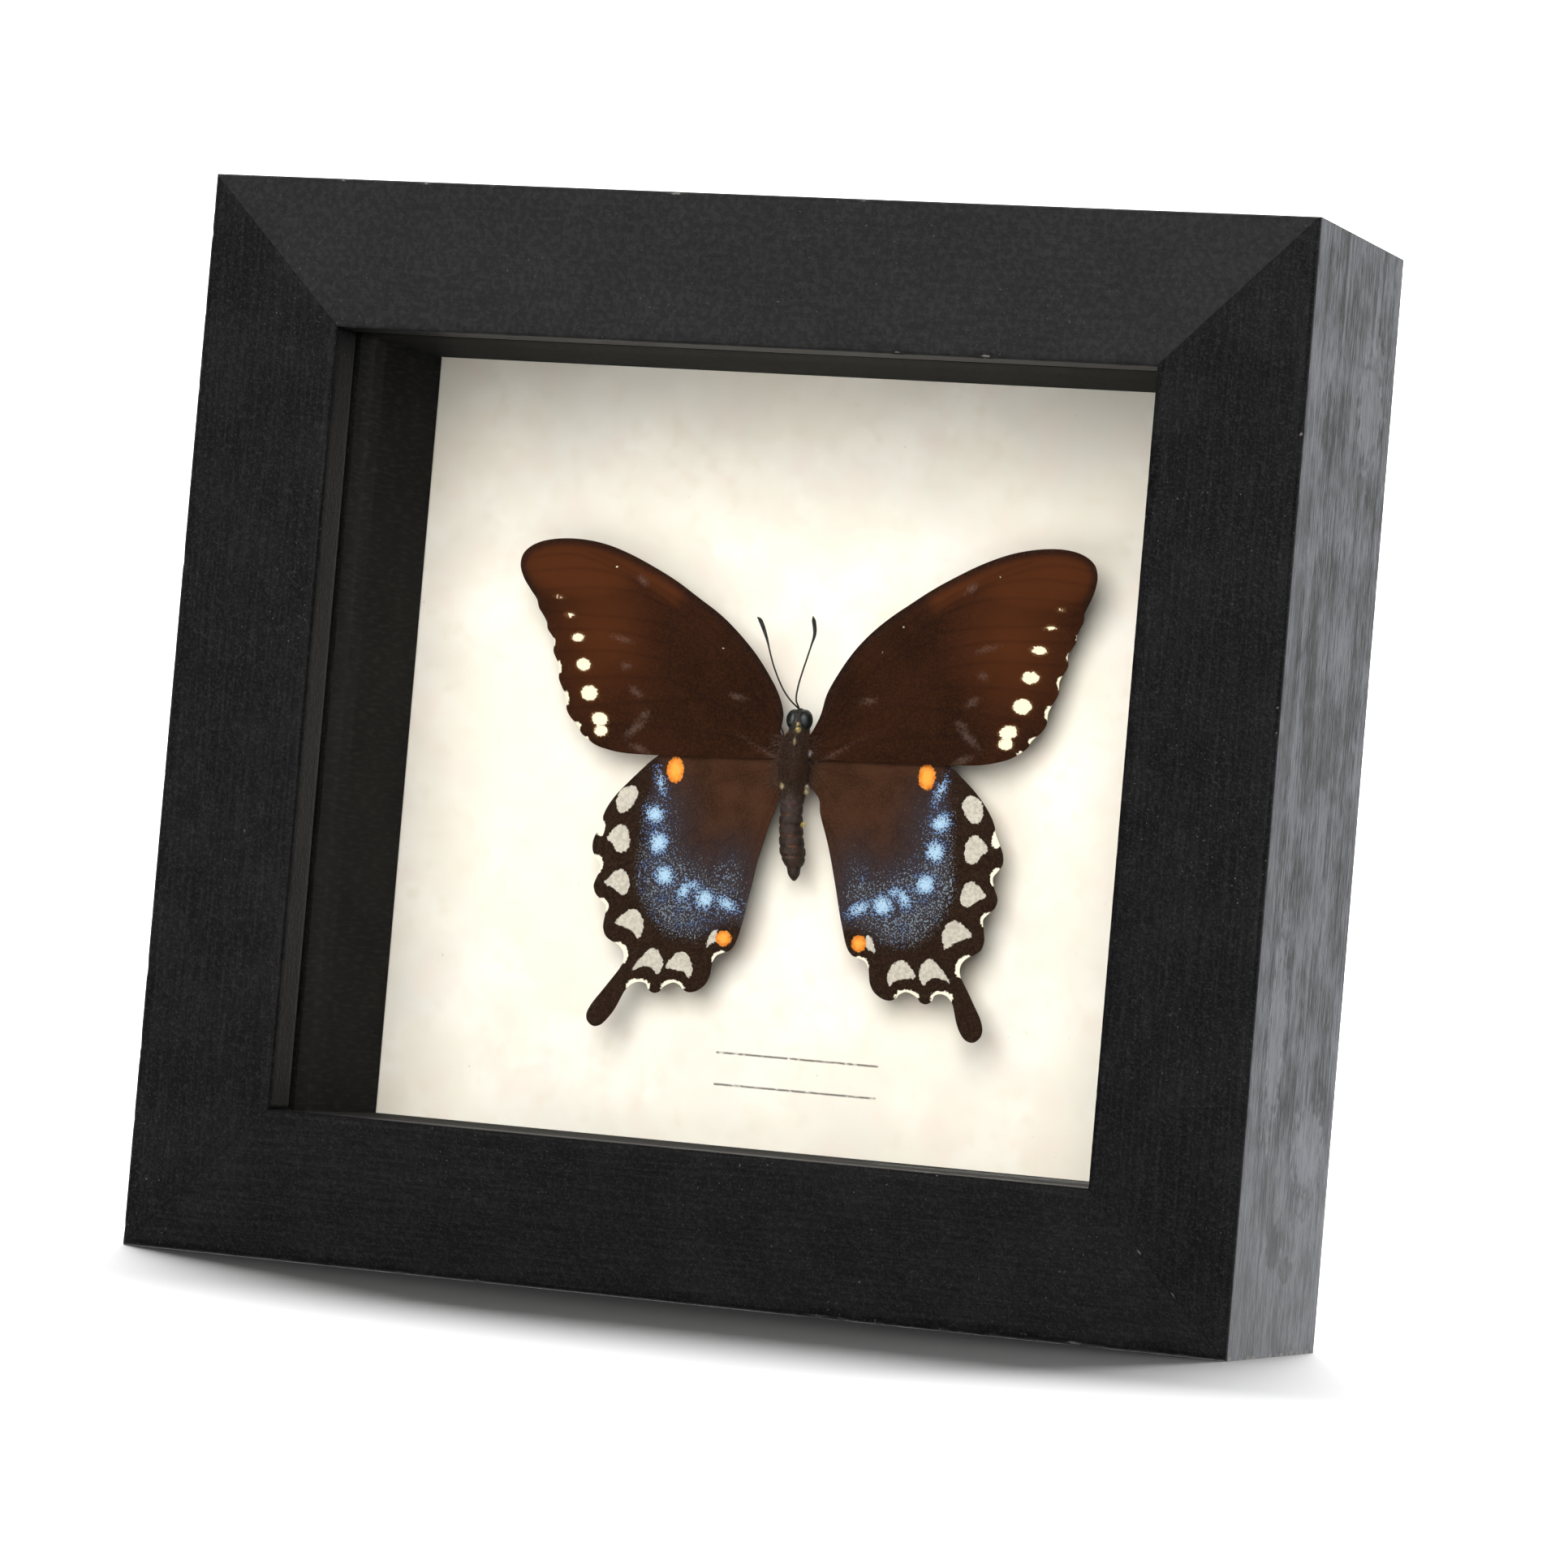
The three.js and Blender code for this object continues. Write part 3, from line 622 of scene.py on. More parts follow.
# %% [markdown]
# ## Lining and board
# Four strips line the case: matt black card or wood, a little brown where it has faded. The board
# behind the specimen is faced with cream parchment paper. Parchment paper is never one colour: it
# has soft clouds of a warmer tone, and a few dark specks of fibre. Under the specimen two ruled
# ink lines stand ready for a name. They are only colour, so they are drawn in the finish.

# %% Lining
def lining_finish():
    lining = Finish("black_lining", {"Specular IOR Level": 0.06})
    place = lining.place()
    fibre = lining.noise(place, 0.5, 4, stretch=(1, 0.15, 1))
    cloud = lining.noise(place, 12, 3)
    base = lining.mix(lining.between(cloud, 0.3, 0.7), screen(9, 9, 8), screen(18, 17, 15))
    base = lining.tint(base, lining.between(fibre, 0.45, 0.7), 0.4, 46, 44, 40)
    lining.emboss(fibre, 0.05, 0.6)
    return lining.done(base, 0.75)


dress(lining_finish(), "spacer_left", "spacer_right", "spacer_top", "spacer_bottom")

# %% Parchment board
RULE_LINES = {"left": -9.0, "right": 17.0, "heights": (36.0, 31.2), "thickness": 0.34}


def parchment():
    paper = Finish("cream_parchment", {"Specular IOR Level": 0.25})
    place = paper.place()
    cloud = paper.noise(place, 11, 5)
    wisp = paper.noise(place, 3.2, 6)
    speck = paper.between(paper.noise(place, 0.55, 2), 0.735, 0.77)
    base = paper.mix(paper.between(cloud, 0.35, 0.68), screen(241, 234, 217), screen(249, 243, 229))
    base = paper.tint(base, paper.between(wisp, 0.5, 0.72), 0.5, 236, 226, 206)
    stain = paper.between(paper.noise(place, 16, 4), 0.42, 0.6)
    base = paper.tint(base, stain, 0.4, 232, 230, 218)
    blush = paper.between(paper.noise(place, 8, 5), 0.48, 0.64)
    base = paper.tint(base, blush, 0.35, 244, 226, 210)
    base = paper.tint(base, speck, 0.5, 150, 128, 98)
    ink = ruled_ink(paper, place)
    base = paper.mix(ink, base, screen(70, 62, 56))
    paper.emboss(wisp, 0.03, 0.5)
    return paper.done(base, 0.85)


def ruled_ink(paper, place):
    """1 on the two ruled lines, with slightly uneven ink."""
    x, z = paper.axis(place, "X"), paper.axis(place, "Z")
    middle = (RULE_LINES["left"] + RULE_LINES["right"]) / 2 * MM
    half = (RULE_LINES["right"] - RULE_LINES["left"]) / 2 * MM
    from_middle = paper.calc("ABSOLUTE", paper.calc("SUBTRACT", x, middle))
    along = paper.between(paper.calc("SUBTRACT", half, from_middle), -0.1 * MM, 0.1 * MM)
    uneven = paper.calc("MULTIPLY", paper.noise(place, 0.35, 3), 0.18 * MM)
    ink = 0.0
    for height in RULE_LINES["heights"]:
        off = paper.calc("ABSOLUTE", paper.calc("SUBTRACT", z, height * MM))
        line = paper.calc("SUBTRACT", RULE_LINES["thickness"] / 2 * MM, paper.calc("ADD", off, uneven))
        ink = paper.calc("MAXIMUM", ink, paper.between(line, -0.16 * MM, 0.02 * MM))
    worn = paper.between(paper.noise(place, 0.7, 3), 0.25, 0.5)
    strength = paper.calc("MULTIPLY", worn, 0.85)
    return paper.calc("MULTIPLY", paper.calc("MULTIPLY", ink, along), strength)


dress(parchment(), "mount_board")
board_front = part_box("mount_board")[0].y / MM
print("paper face at y =", round(board_front, 2), "mm")

# %% [markdown]
# ## The specimen's own frame
# The butterfly leans a little on its board. It is easier to draw it upright and let one matrix
# lean it: u runs outwards from the middle of the body, v up towards the head, and depth away from
# the window. The outlines are the same few points as in the solids, with the same smooth curve
# through them, so the fine wings cover the plain ones exactly.

# %% Outlines
SPECIMEN = {"x": 2.5, "z": 80.0, "tilt": 2.4}
WING_STANDOFF = 5.7
THORAX_HALF_WIDTH = 2.15
ROOT_GAP = 0.3
WING_DROP = {"left": 0.0, "right": math.radians(0.8)}

FOREWING_COSTA = [
    (2.9, 7.4), (3.8, 10.6), (5.6, 13.8), (7.8, 16.9), (10.6, 19.9), (13.4, 22.3), (16.6, 24.5),
    (20.5, 27.1), (24.5, 29.3), (28.5, 31.2), (32.5, 32.6), (36.5, 33.3), (40.2, 33.3), (43.2, 32.6),
    (45.2, 31.2), (45.8, 29.3), (45.3, 27.2), (44.2, 25.2),
]
FOREWING_MARGIN = [
    (43.5, 24.0), (43.3, 22.8), (42.3, 21.0), (42.0, 19.6), (40.9, 17.9), (41.0, 16.2), (39.9, 14.0),
    (39.8, 12.0), (38.5, 9.4), (38.3, 7.5), (37.5, 6.2), (36.3, 5.1), (35.6, 3.9), (34.6, 3.1),
]
FOREWING_HIND_EDGE = [(33.2, 2.2), (31.4, 1.6), (28.5, 1.05), (24, 0.85), (16, 0.8), (8, 0.8)]
HINDWING_COSTA = [
    (8, 3.2), (15, 3.6), (20, 2.6), (23.5, 0.5), (25.5, -1.2), (27.5, -3.1), (29.3, -5.1), (30.6, -7),
]
HINDWING_MARGIN = [
    (31.2, -8.4), (31.5, -9.6), (32.1, -10.9), (32.7, -12.4), (32.7, -13.9), (32, -15),
    (31.3, -16), (31.6, -17.4), (32.2, -19), (31.9, -20.3), (31, -21.2),
    (30.1, -22.2), (30.2, -23.6), (30.4, -25.2), (30, -26.6), (29, -27.4),
    (27.9, -27.9), (27, -28.9), (26.8, -30.1), (27.2, -31.2),
]
HINDWING_TAIL = [
    (28.3, -32.9), (29.6, -34.9), (30.9, -36.9), (31.5, -38.5), (31.2, -39.7), (30.2, -40.4),
    (29, -40.1), (28, -39), (27.2, -37.6), (26.6, -36), (26.1, -34.8),
]
HINDWING_LOWER_MARGIN = [
    (25.2, -33.8), (24, -33.4), (23, -33.7), (22.6, -34.5), (21.8, -35), (20.9, -34.8), (20.3, -34.1),
    (19.5, -33.6), (18.5, -33.3), (17.5, -33.7), (17, -34.3), (16, -34.7), (14.7, -34.4), (13.5, -33.5),
    (12.8, -32.2), (12.6, -30.9), (12.4, -29.9), (11.8, -29), (10.9, -28.6), (9.8, -28.2), (9, -27.2),
]
HINDWING_INNER_EDGE = [
    (8.4, -25.6), (7.7, -22.8), (7.1, -20), (6.5, -17.3), (5.9, -14.6), (5.2, -12), (4.4, -9.4),
    (3.6, -7), (3.2, -5),
]
BODY_WANDER = [
    (8.5, -0.15), (6, -0.15), (4, -0.5), (1, -0.85), (-4, -0.95), (-9, -0.92), (-12, -0.6),
    (-14.4, -0.2), (-17.5, 0),
]
print("points on the margins:", len(FOREWING_MARGIN), "and", len(HINDWING_MARGIN))

# %% Curves and places
def body_middle(v):
    """Where the body's middle line is, sideways, at height v."""
    heights, sideways = np.array(BODY_WANDER[::-1]).T
    return np.interp(v, heights, sideways)


def smooth_path(points, steps, closed=False):
    """A curve through the points, by Catmull and Rom's rule."""
    points = np.array(points, float)
    ends = (points[-1:], points[:2]) if closed else (points[:1], points[-1:])
    padded = np.concatenate([ends[0], points, ends[1]])
    share = np.linspace(0, 1, steps, endpoint=False)[:, None]
    spans = []
    for p0, p1, p2, p3 in zip(padded, padded[1:], padded[2:], padded[3:]):
        bow, twist = 2 * p0 - 5 * p1 + 4 * p2 - p3, 3 * (p1 - p2) + p3 - p0
        spans.append(0.5 * (2 * p1 + (p2 - p0) * share + bow * share**2 + twist * share**3))
    return np.concatenate(spans + ([] if closed else [points[-1:]]))


def to_case(points):
    """From the specimen's frame, as (sideways, depth, v), to the case's, in millimetres."""
    tilt = math.radians(SPECIMEN["tilt"])
    sideways, depth, v = np.asarray(points, float).T
    x = SPECIMEN["x"] + sideways * math.cos(tilt) - v * math.sin(tilt)
    z = SPECIMEN["z"] + sideways * math.sin(tilt) + v * math.cos(tilt)
    return np.stack([x, board_front - WING_STANDOFF + depth, z], 1)


print("outlines drawn; the body's middle line at its root is at", round(float(body_middle(0)), 2))

# %% [markdown]
# ## How the wings bend
# A spread wing is never flat. The front edge arches towards the window, the tip curls further, the
# margin droops back, and the tail bends up. These are smooth functions of u and v, the same ones
# that the solids follow, and the fine mesh adds gentle cockling and a low ridge over each vein.

# %% Wing shape
def bend(limits, value):
    share = np.clip((value - limits[0]) / (limits[1] - limits[0]), 0, 1)
    return share * share * (3 - 2 * share)


def forewing_depth(u, v):
    arch = 1.2 * bend((8, 20), v) * (1 - bend((30, 42), u))
    droop = 0.8 * bend((30, 42), u) * (1 - bend((20, 28), v))
    return droop - arch - 2.3 * bend((34, 46), u) * bend((18, 30), v)


def hindwing_depth(u, v):
    return 0.75 * (1 - bend((-2, -9), v)) - 2.4 * bend((22, 29), u) * bend((-31, -40), v)


def cockle(u, v):
    """Small waves in the membrane, up to about a tenth of a millimetre."""
    return 0.06 * np.sin(0.55 * u + 0.3 * v) + 0.05 * np.sin(0.9 * v - 0.35 * u + 1.3)


print("the tail bends", round(-float(hindwing_depth(31.0, -40.0)), 2), "mm towards the window")

# %% Distances
def distance_to(points, path):
    """From each point to the nearest place on a path."""
    start, step = path[:-1], np.diff(path, axis=0)
    nearest = np.full(len(points), 1e9)
    for origin, span in zip(start, step):
        share = np.clip((points - origin) @ span / max(span @ span, 1e-12), 0, 1)
        gap = points - origin - share[:, None] * span
        nearest = np.minimum(nearest, np.hypot(*gap.T))
    return nearest


def within(points, loop):
    """Whether each point lies inside a closed loop."""
    x, y = points.T
    inside = np.zeros(len(points), bool)
    for (x0, y0), (x1, y1) in zip(loop, np.roll(loop, -1, axis=0)):
        crosses = (y0 > y) != (y1 > y)
        at = x0 + (y - y0) * (x1 - x0) / np.where(y1 == y0, 1e-12, y1 - y0)
        inside ^= crosses & (x < at)
    return inside


tail_middle = np.array([(29.6, -38.2)])
to_edge = distance_to(tail_middle, smooth_path(HINDWING_TAIL, 5))[0]
print("from the middle of the tail's end to its edge:", round(float(to_edge), 2), "mm")

# %% [markdown]
# ## Markings
# The pattern is made of named shapes in millimetres: ovals, streaks and patches. For every point
# of the mesh the script works out how far inside or outside each kind of mark it lies and stores
# that in an attribute. The finish then turns the distance into colour, so an edge stays crisp
# between mesh points, and a little noise on the distance makes it look like single scales.

# %% Mark shapes
def oval(points, middle, size, tilt=0):
    """Distance inside an oval, negative outside it."""
    turn = math.radians(tilt)
    u, v = (points - middle).T
    along = u * math.cos(turn) + v * math.sin(turn)
    across = v * math.cos(turn) - u * math.sin(turn)
    return (1 - np.hypot(along / size[0], across / size[1])) * min(size)


def streak(points, ends, radius):
    return radius - distance_to(points, np.array(ends, float))


def patch(points, corners):
    """Distance inside a rounded patch through some corners."""
    loop = smooth_path(corners, 6, closed=True)
    away = distance_to(points, np.concatenate([loop, loop[:1]]))
    return np.where(within(points, loop), away, -away)


def strongest(marks):
    return np.max(np.stack(list(marks)), axis=0)


spot_depth = float(oval(np.zeros((1, 2)), (0, 0), (1, 1))[0])
print("the middle of a spot 2 mm across lies", spot_depth, "mm inside it")

# %% Forewing marks
FOREWING_SPOTS = [
    ((39.9, 24.5), (0.55, 0.25), 5), ((38.2, 21.8), (0.8, 0.36), 5), ((36.7, 18.4), (1.2, 0.72), 0),
    ((35.6, 14.3), (1.35, 1.0), 5), ((34.5, 10.0), (1.5, 1.2), 5), ((32.6, 6.1), (1.5, 1.05), 12),
    ((32.3, 4.3), (1.2, 0.9), 0),
]
FOREWING_NOTCHES = [
    ((44.1, 23.1), (0.35, 0.3)), ((42.6, 20.5), (0.45, 0.4)), ((41.3, 17.6), (0.5, 0.65)),
    ((40.1, 13.7), (0.6, 1.0)), ((38.7, 9.1), (0.75, 1.1)), ((36.7, 4.9), (0.9, 0.65)),
    ((34.9, 2.9), (0.8, 0.5)),
]
FOREWING_SMUDGES = [
    ((25.4, 6.8), (0.7, 0.4), -30), ((26.6, 4.9), (1.7, 0.5), -40), ((26.8, 10.3), (0.8, 0.4), 35),
    ((28.4, 14.2), (0.6, 0.4), 0), ((25.8, 1.7), (1.1, 0.4), 20), ((26, 27.1), (0.8, 0.45), 40),
    ((28.9, 18.2), (0.9, 0.25), 15), ((10.4, 9.9), (0.8, 0.25), 10), ((5.2, 1.6), (1.3, 0.1), 30),
]
SPOT_SHRINK = 0.08
FOREWING_SPECKS = [(15.7, 21.0), (12.7, 17.2), (30.3, 29.1)]
FOREWING_VEINS = [
    [(2.6, 4.4), (5.5, 10), (10, 16), (18, 22.8), (28, 28.6), (35, 31.4)],
    [(2.6, 3.8), (9, 12), (15.5, 18.6), (21.6, 23.8)],
    [(2.6, 3.0), (9, 7.2), (15, 9.6), (21.4, 12.4)],
    [(21.6, 23.8), (21, 20.4), (21.2, 16.5), (21.4, 12.4)],
    [(21.6, 23.8), (28, 27.6), (37, 30.9), (44.9, 30.2)],
    [(23.6, 25), (30, 27.9), (36.5, 28.9), (45.2, 28)],
    [(21.6, 23.2), (28.5, 25.6), (37, 25.9), (44.2, 25.2)],
    [(21, 20.4), (28, 21.4), (36, 21.9), (43.3, 22.6)],
    [(21.1, 17.6), (30, 19.4), (41.9, 19.7)],
    [(21.2, 15), (30, 16.4), (40.9, 16.2)],
    [(21.4, 12.4), (30, 12.6), (39.7, 12)],
    [(15, 9.6), (26, 8.8), (38.2, 7.6)],
    [(2.7, 2.2), (14, 4.4), (26, 5.4), (36.2, 5.1)],
]


def forewing_marks(points, costa):
    notch = strongest(oval(points, middle, size) for middle, size in FOREWING_NOTCHES)
    speck = strongest(oval(points, middle, (0.15, 0.12)) for middle in FOREWING_SPECKS)
    return {
        "cream": strongest(oval(points, *spot) for spot in FOREWING_SPOTS) - SPOT_SHRINK,
        "notch": np.maximum(notch + 0.05, speck),
        "smudge": strongest(oval(points, *smudge) for smudge in FOREWING_SMUDGES),
        "vein": -strongest(-distance_to(points, smooth_path(v, 6)) for v in FOREWING_VEINS),
        "front_edge": distance_to(points, costa),
        "warm": strongest([
            streak(points, [(21, 25.4), (26, 28), (31, 30.2)], 1.1),
            oval(points, (37, 28.5), (9, 4.2), 8),
            oval(points, (33, 19), (10, 13)) * 0.25 - 1.3,
        ]),
    }


print("forewing:", len(FOREWING_SPOTS), "cream spots and", len(FOREWING_VEINS), "veins")

# %% Hindwing marks
PALE_CRESCENTS = [
    [(25.9, -5.2), (26.9, -3.8), (28.7, -4.6), (29.3, -6.4), (28.6, -8), (27, -7.4)],
    [(26.7, -12.6), (27.2, -10.4), (28.6, -9.8), (30.4, -11.8), (29.4, -12.8),
     (28.7, -13.9), (27.2, -13.8)],
    [(26.4, -19), (26.9, -17.2), (28.3, -16.6), (30.5, -18.7), (29.3, -19.3),
     (27.9, -20.3), (26.8, -20.2)],
    [(23.8, -25), (24.4, -23.2), (26, -22.5), (28.5, -24.5), (27.2, -25.2),
     (25.6, -25.9), (24.5, -26.9)],
    [(20.4, -30.6), (21.1, -28.9), (22.6, -28.4), (25.4, -31.6), (23.6, -31.1),
     (22.2, -31.3), (21.2, -32.2)],
    [(15.5, -31.4), (16.3, -29.3), (18, -28.7), (20, -31), (18.2, -31.4), (16.9, -31.7), (16, -32.5)],
    [(11.9, -25.2), (12.9, -25.7), (13.6, -27.9), (12.7, -27.3), (11.9, -26.8)],
]
ORANGE_SPOTS = [((20.1, -1.3), (1.35, 1.95), 0), ((10.8, -26.4), (1.25, 1.2), 0)]
BLUE_PATCHES = [
    ((22.3, -3.3), (0.55, 1.5), -20), ((22.8, -8.1), (1.5, 1.25), 30), ((22.1, -12.4), (1.45, 1.6), 0),
    ((20.8, -17.3), (1.45, 1.6), -40), ((14.2, -20.6), (1.5, 1.5), 0), ((10.6, -21.2), (1.8, 0.85), 25),
    ((17.6, -19.5), (0.9, 1.5), 30), ((16, -18.6), (0.9, 0.6), 20),
]
BLUE_DUST = [
    (10.2, -15.5), (13, -17.6), (17, -15.6), (20, -13.6), (20.6, -9.5), (22.2, -6.2), (24.6, -7.6),
    (25.3, -13), (26, -16.5), (25, -20.5), (21.8, -25), (18.5, -26.4), (14.8, -26), (12.8, -23.6),
    (8.7, -22.2), (9, -19.4),
]
HINDWING_NOTCHES = [
    ((32, -9.8), (0.85, 1.5), -20), ((32, -15.9), (0.95, 1.25), 0), ((30.8, -22.2), (0.95, 1.05), -30),
    ((27.6, -29.2), (1.25, 1.6), -35), ((24.2, -34), (1.6, 0.9), 0), ((18.7, -34), (1.6, 0.9), 0),
    ((11.2, -29.5), (1.2, 1.0), -30),
]
DARK_BAND = [
    (23, -0.4), (24.4, -5), (24.6, -13), (24.8, -19), (21.5, -24.6), (17, -26.6), (13.5, -26),
    (9.5, -24.4),
]
HINDWING_VEINS = [
    [(2.8, 0.4), (14, 1.6), (22, 0.4), (27, -3.6), (31, -8.2)],
    [(2.8, -0.4), (9, -1.6), (14.5, -3.4), (24, -4.8), (31.2, -8.6)],
    [(14.5, -3.4), (16.4, -7), (24.4, -10.2), (32.6, -13.2)],
    [(16.4, -7), (16.4, -10), (24.6, -15.8), (32.1, -19.3)],
    [(16.4, -10), (15.6, -12.4), (23.2, -21), (30.3, -25.4)],
    [(15.6, -12.4), (20.6, -23.6), (25.6, -31.4), (29.8, -38.8)],
    [(15.6, -12.4), (12.4, -13), (16.4, -23.6), (19.9, -30), (21.6, -34.7)],
    [(12.4, -13), (10, -11), (11.8, -17), (14.2, -27.5), (15.7, -34.2)],
    [(2.8, -1.6), (6, -5.4), (10, -11)],
    [(3.2, -3), (6.6, -12.6), (9, -21.6), (11.2, -28.2)],
]
NOTCH_GROWTH = 0.16


def hindwing_marks(points, costa):
    outer = smooth_path(DARK_BAND, 8)
    beyond = distance_to(points, outer)
    towards_body = within(points, np.concatenate([outer, [(2, -26), (2, 4), (23, 4)]]))
    return {
        "pale": strongest(patch(points, crescent) for crescent in PALE_CRESCENTS),
        "orange": strongest(oval(points, *spot) for spot in ORANGE_SPOTS),
        "blue": strongest(oval(points, *spot) for spot in BLUE_PATCHES),
        "dust": patch(points, BLUE_DUST),
        "band": np.where(towards_body, -beyond, beyond),
        "notch": strongest(oval(points, *notch) for notch in HINDWING_NOTCHES) + NOTCH_GROWTH,
        "vein": -strongest(-distance_to(points, smooth_path(v, 6)) for v in HINDWING_VEINS),
        "front_edge": distance_to(points, costa),
    }


print("hindwing:", len(PALE_CRESCENTS), "crescents and", len(BLUE_PATCHES), "blue patches")

# %% [markdown]
# ## Wing meshes
# A wing is a sheet a tenth of a millimetre thick. Its outline is filled with a grid of points and
# triangulated, because a plain grid would leave stair steps along the lobes and the tail. A second
# copy of the sheet just behind, and a rim between them, make it a closed shell.

# %% Turning, shells and roots
SIDES = {"left": -1, "right": 1}


def turned(points, angle, hinge):
    """The points turned about a hinge."""
    u, v = (points - hinge).T
    cosine, sine = math.cos(angle), math.sin(angle)
    return np.stack([u * cosine - v * sine, u * sine + v * cosine], 1) + hinge


def rim_of(faces, count):
    """The faces that join the open edge of a sheet to its copy."""
    edges = {(a, b) for face in faces for a, b in zip(face, (*face[1:], face[0]))}
    return [(b, a, count + a, count + b) for a, b in edges if (b, a) not in edges]


def shell(faces, count):
    """The faces of a sheet, of its copy behind it, and of the rim between the two."""
    return faces + [face[::-1] for face in shifted(faces, count)] + rim_of(faces, count)


def wing_root(sign):
    return THORAX_HALF_WIDTH + ROOT_GAP + sign * float(body_middle(0))


print("wing roots", [round(wing_root(sign), 2) for sign in SIDES.values()], "mm from the upright axis")

# %% Wing shell
WING_CELL = 0.42
ROW_SHARE = 0.866  # rows of even triangles lie this share of a cell apart
EDGE_SHARE = 0.45  # and stay this share of a cell away from the outline
SHELL_THICKNESS = 0.12
VEIN_RIDGE = {"height": 0.07, "width": 0.22}
ROOT_OVERLAP = 0.7


def filled(outline):
    """Points and triangles that fill an outline."""
    low, high = outline.min(0), outline.max(0)
    rows = []
    for row, v in enumerate(np.arange(low[1], high[1], WING_CELL * ROW_SHARE)):
        across = np.arange(low[0] + WING_CELL / 2 * (row % 2), high[0], WING_CELL)
        rows.append(np.stack([across, np.full_like(across, v)], 1))
    grid = np.concatenate(rows)
    grid = grid[within(grid, outline)]
    closed = np.concatenate([outline, outline[:1]])
    grid = grid[distance_to(grid, closed) > WING_CELL * EDGE_SHARE]
    corners = [Vector(point) for point in np.concatenate([outline, grid])]
    points, _, faces, *_ = delaunay_2d_cdt(corners, [], [list(range(len(outline)))], 1, 1e-6)
    return np.array([tuple(point) for point in points]), faces


def wing(name, sign, outline, depth_at, marks_of, costa, drop, material, node):
    root = outline[0]
    loop = smooth_path(outline, 5)
    flat, faces = filled(loop)
    u, v = flat.T
    marks = marks_of(turned(flat, drop, (root[0], 0)), smooth_path(costa, 6))
    rib = np.exp(-((marks["vein"] / VEIN_RIDGE["width"]) ** 2)) * VEIN_RIDGE["height"]
    middle = depth_at(u, v) + cockle(u, v)
    front = np.stack([sign * u, middle - SHELL_THICKNESS / 2 - rib, v], 1)
    back = np.stack([sign * u, middle + SHELL_THICKNESS / 2 + rib * 0.5, v], 1)
    faces = shell([face if sign > 0 else face[::-1] for face in faces], len(flat))
    piece = add_piece(name, to_case(np.concatenate([front, back])), faces, material)
    for mark, values in marks.items():
        note(piece.data, mark, np.concatenate([values, values]))
    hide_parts(node)


print("a wing is filled with points", WING_CELL, "mm apart and is", SHELL_THICKNESS, "mm thick")

# %% [markdown]
# ## Wing scales
# Butterfly wings are covered with tiny overlapping scales, which give velvety, faintly speckled
# colour. The browns are mixed from large soft clouds and a very fine noise, one spot for each few
# scales. The marks come from the attributes. Blue is scattered single scales: a fine noise is cut
# by a threshold that gets lower towards the middle of each patch.

# %% Scales, edges and veins
VELVET = {"Specular IOR Level": 0.03}


def ragged(scales, place):
    """A small random shift that breaks the edge of a mark into single scales."""
    return scales.calc("MULTIPLY", scales.calc("SUBTRACT", scales.noise(place, 0.36, 3), 0.5), 0.75)


def inside(scales, mark, jitter, low=-0.06, high=0.08):
    return scales.between(scales.calc("ADD", scales.mark(mark), jitter), low, high)


def darker_veins(scales, base, share):
    vein = scales.calc("SUBTRACT", 1, scales.between(scales.mark("vein"), 0.03, 0.4))
    return scales.tint(base, vein, share, 18, 11, 7)


print("gloss of the wing scales:", VELVET["Specular IOR Level"])

# %% Forewing finish
def forewing_finish():
    scales = Finish("forewing_scales", VELVET)
    place = scales.place()
    cloud, fine = scales.noise(place, 7, 5), scales.noise(place, 0.3, 4)
    jitter = ragged(scales, place)
    base = scales.mix(scales.between(cloud, 0.3, 0.7), screen(26, 12, 4), screen(39, 19, 8))
    base = scales.tint(base, scales.between(scales.mark("warm"), -2.2, 1.6), 0.52, 94, 48, 20)
    edge = scales.calc("SUBTRACT", 1, scales.between(scales.mark("front_edge"), 0.3, 1.5))
    base = scales.tint(base, edge, 0.75, 20, 15, 12)
    base = scales.tint(base, scales.between(fine, 0.38, 0.66), 0.36, 66, 35, 16)
    base = darker_veins(scales, base, 0.22)
    thin = scales.calc("MULTIPLY", jitter, 2.2)
    smudge = inside(scales, "smudge", thin, -0.5, 0.6)
    base = scales.tint(base, smudge, 0.27, 128, 106, 94)
    rim = inside(scales, "cream", jitter, -0.4, 0.05)
    base = scales.tint(base, rim, 0.5, 120, 82, 48)
    base = scales.mix(inside(scales, "cream", jitter), base, screen(244, 232, 198))
    base = scales.mix(inside(scales, "notch", jitter), base, screen(240, 228, 198))
    scales.emboss(fine, 0.05, 0.7)
    return scales.done(base, 0.8)


fore_finish = forewing_finish()
print(fore_finish.name, "is mixed from", len(fore_finish.node_tree.nodes), "nodes")

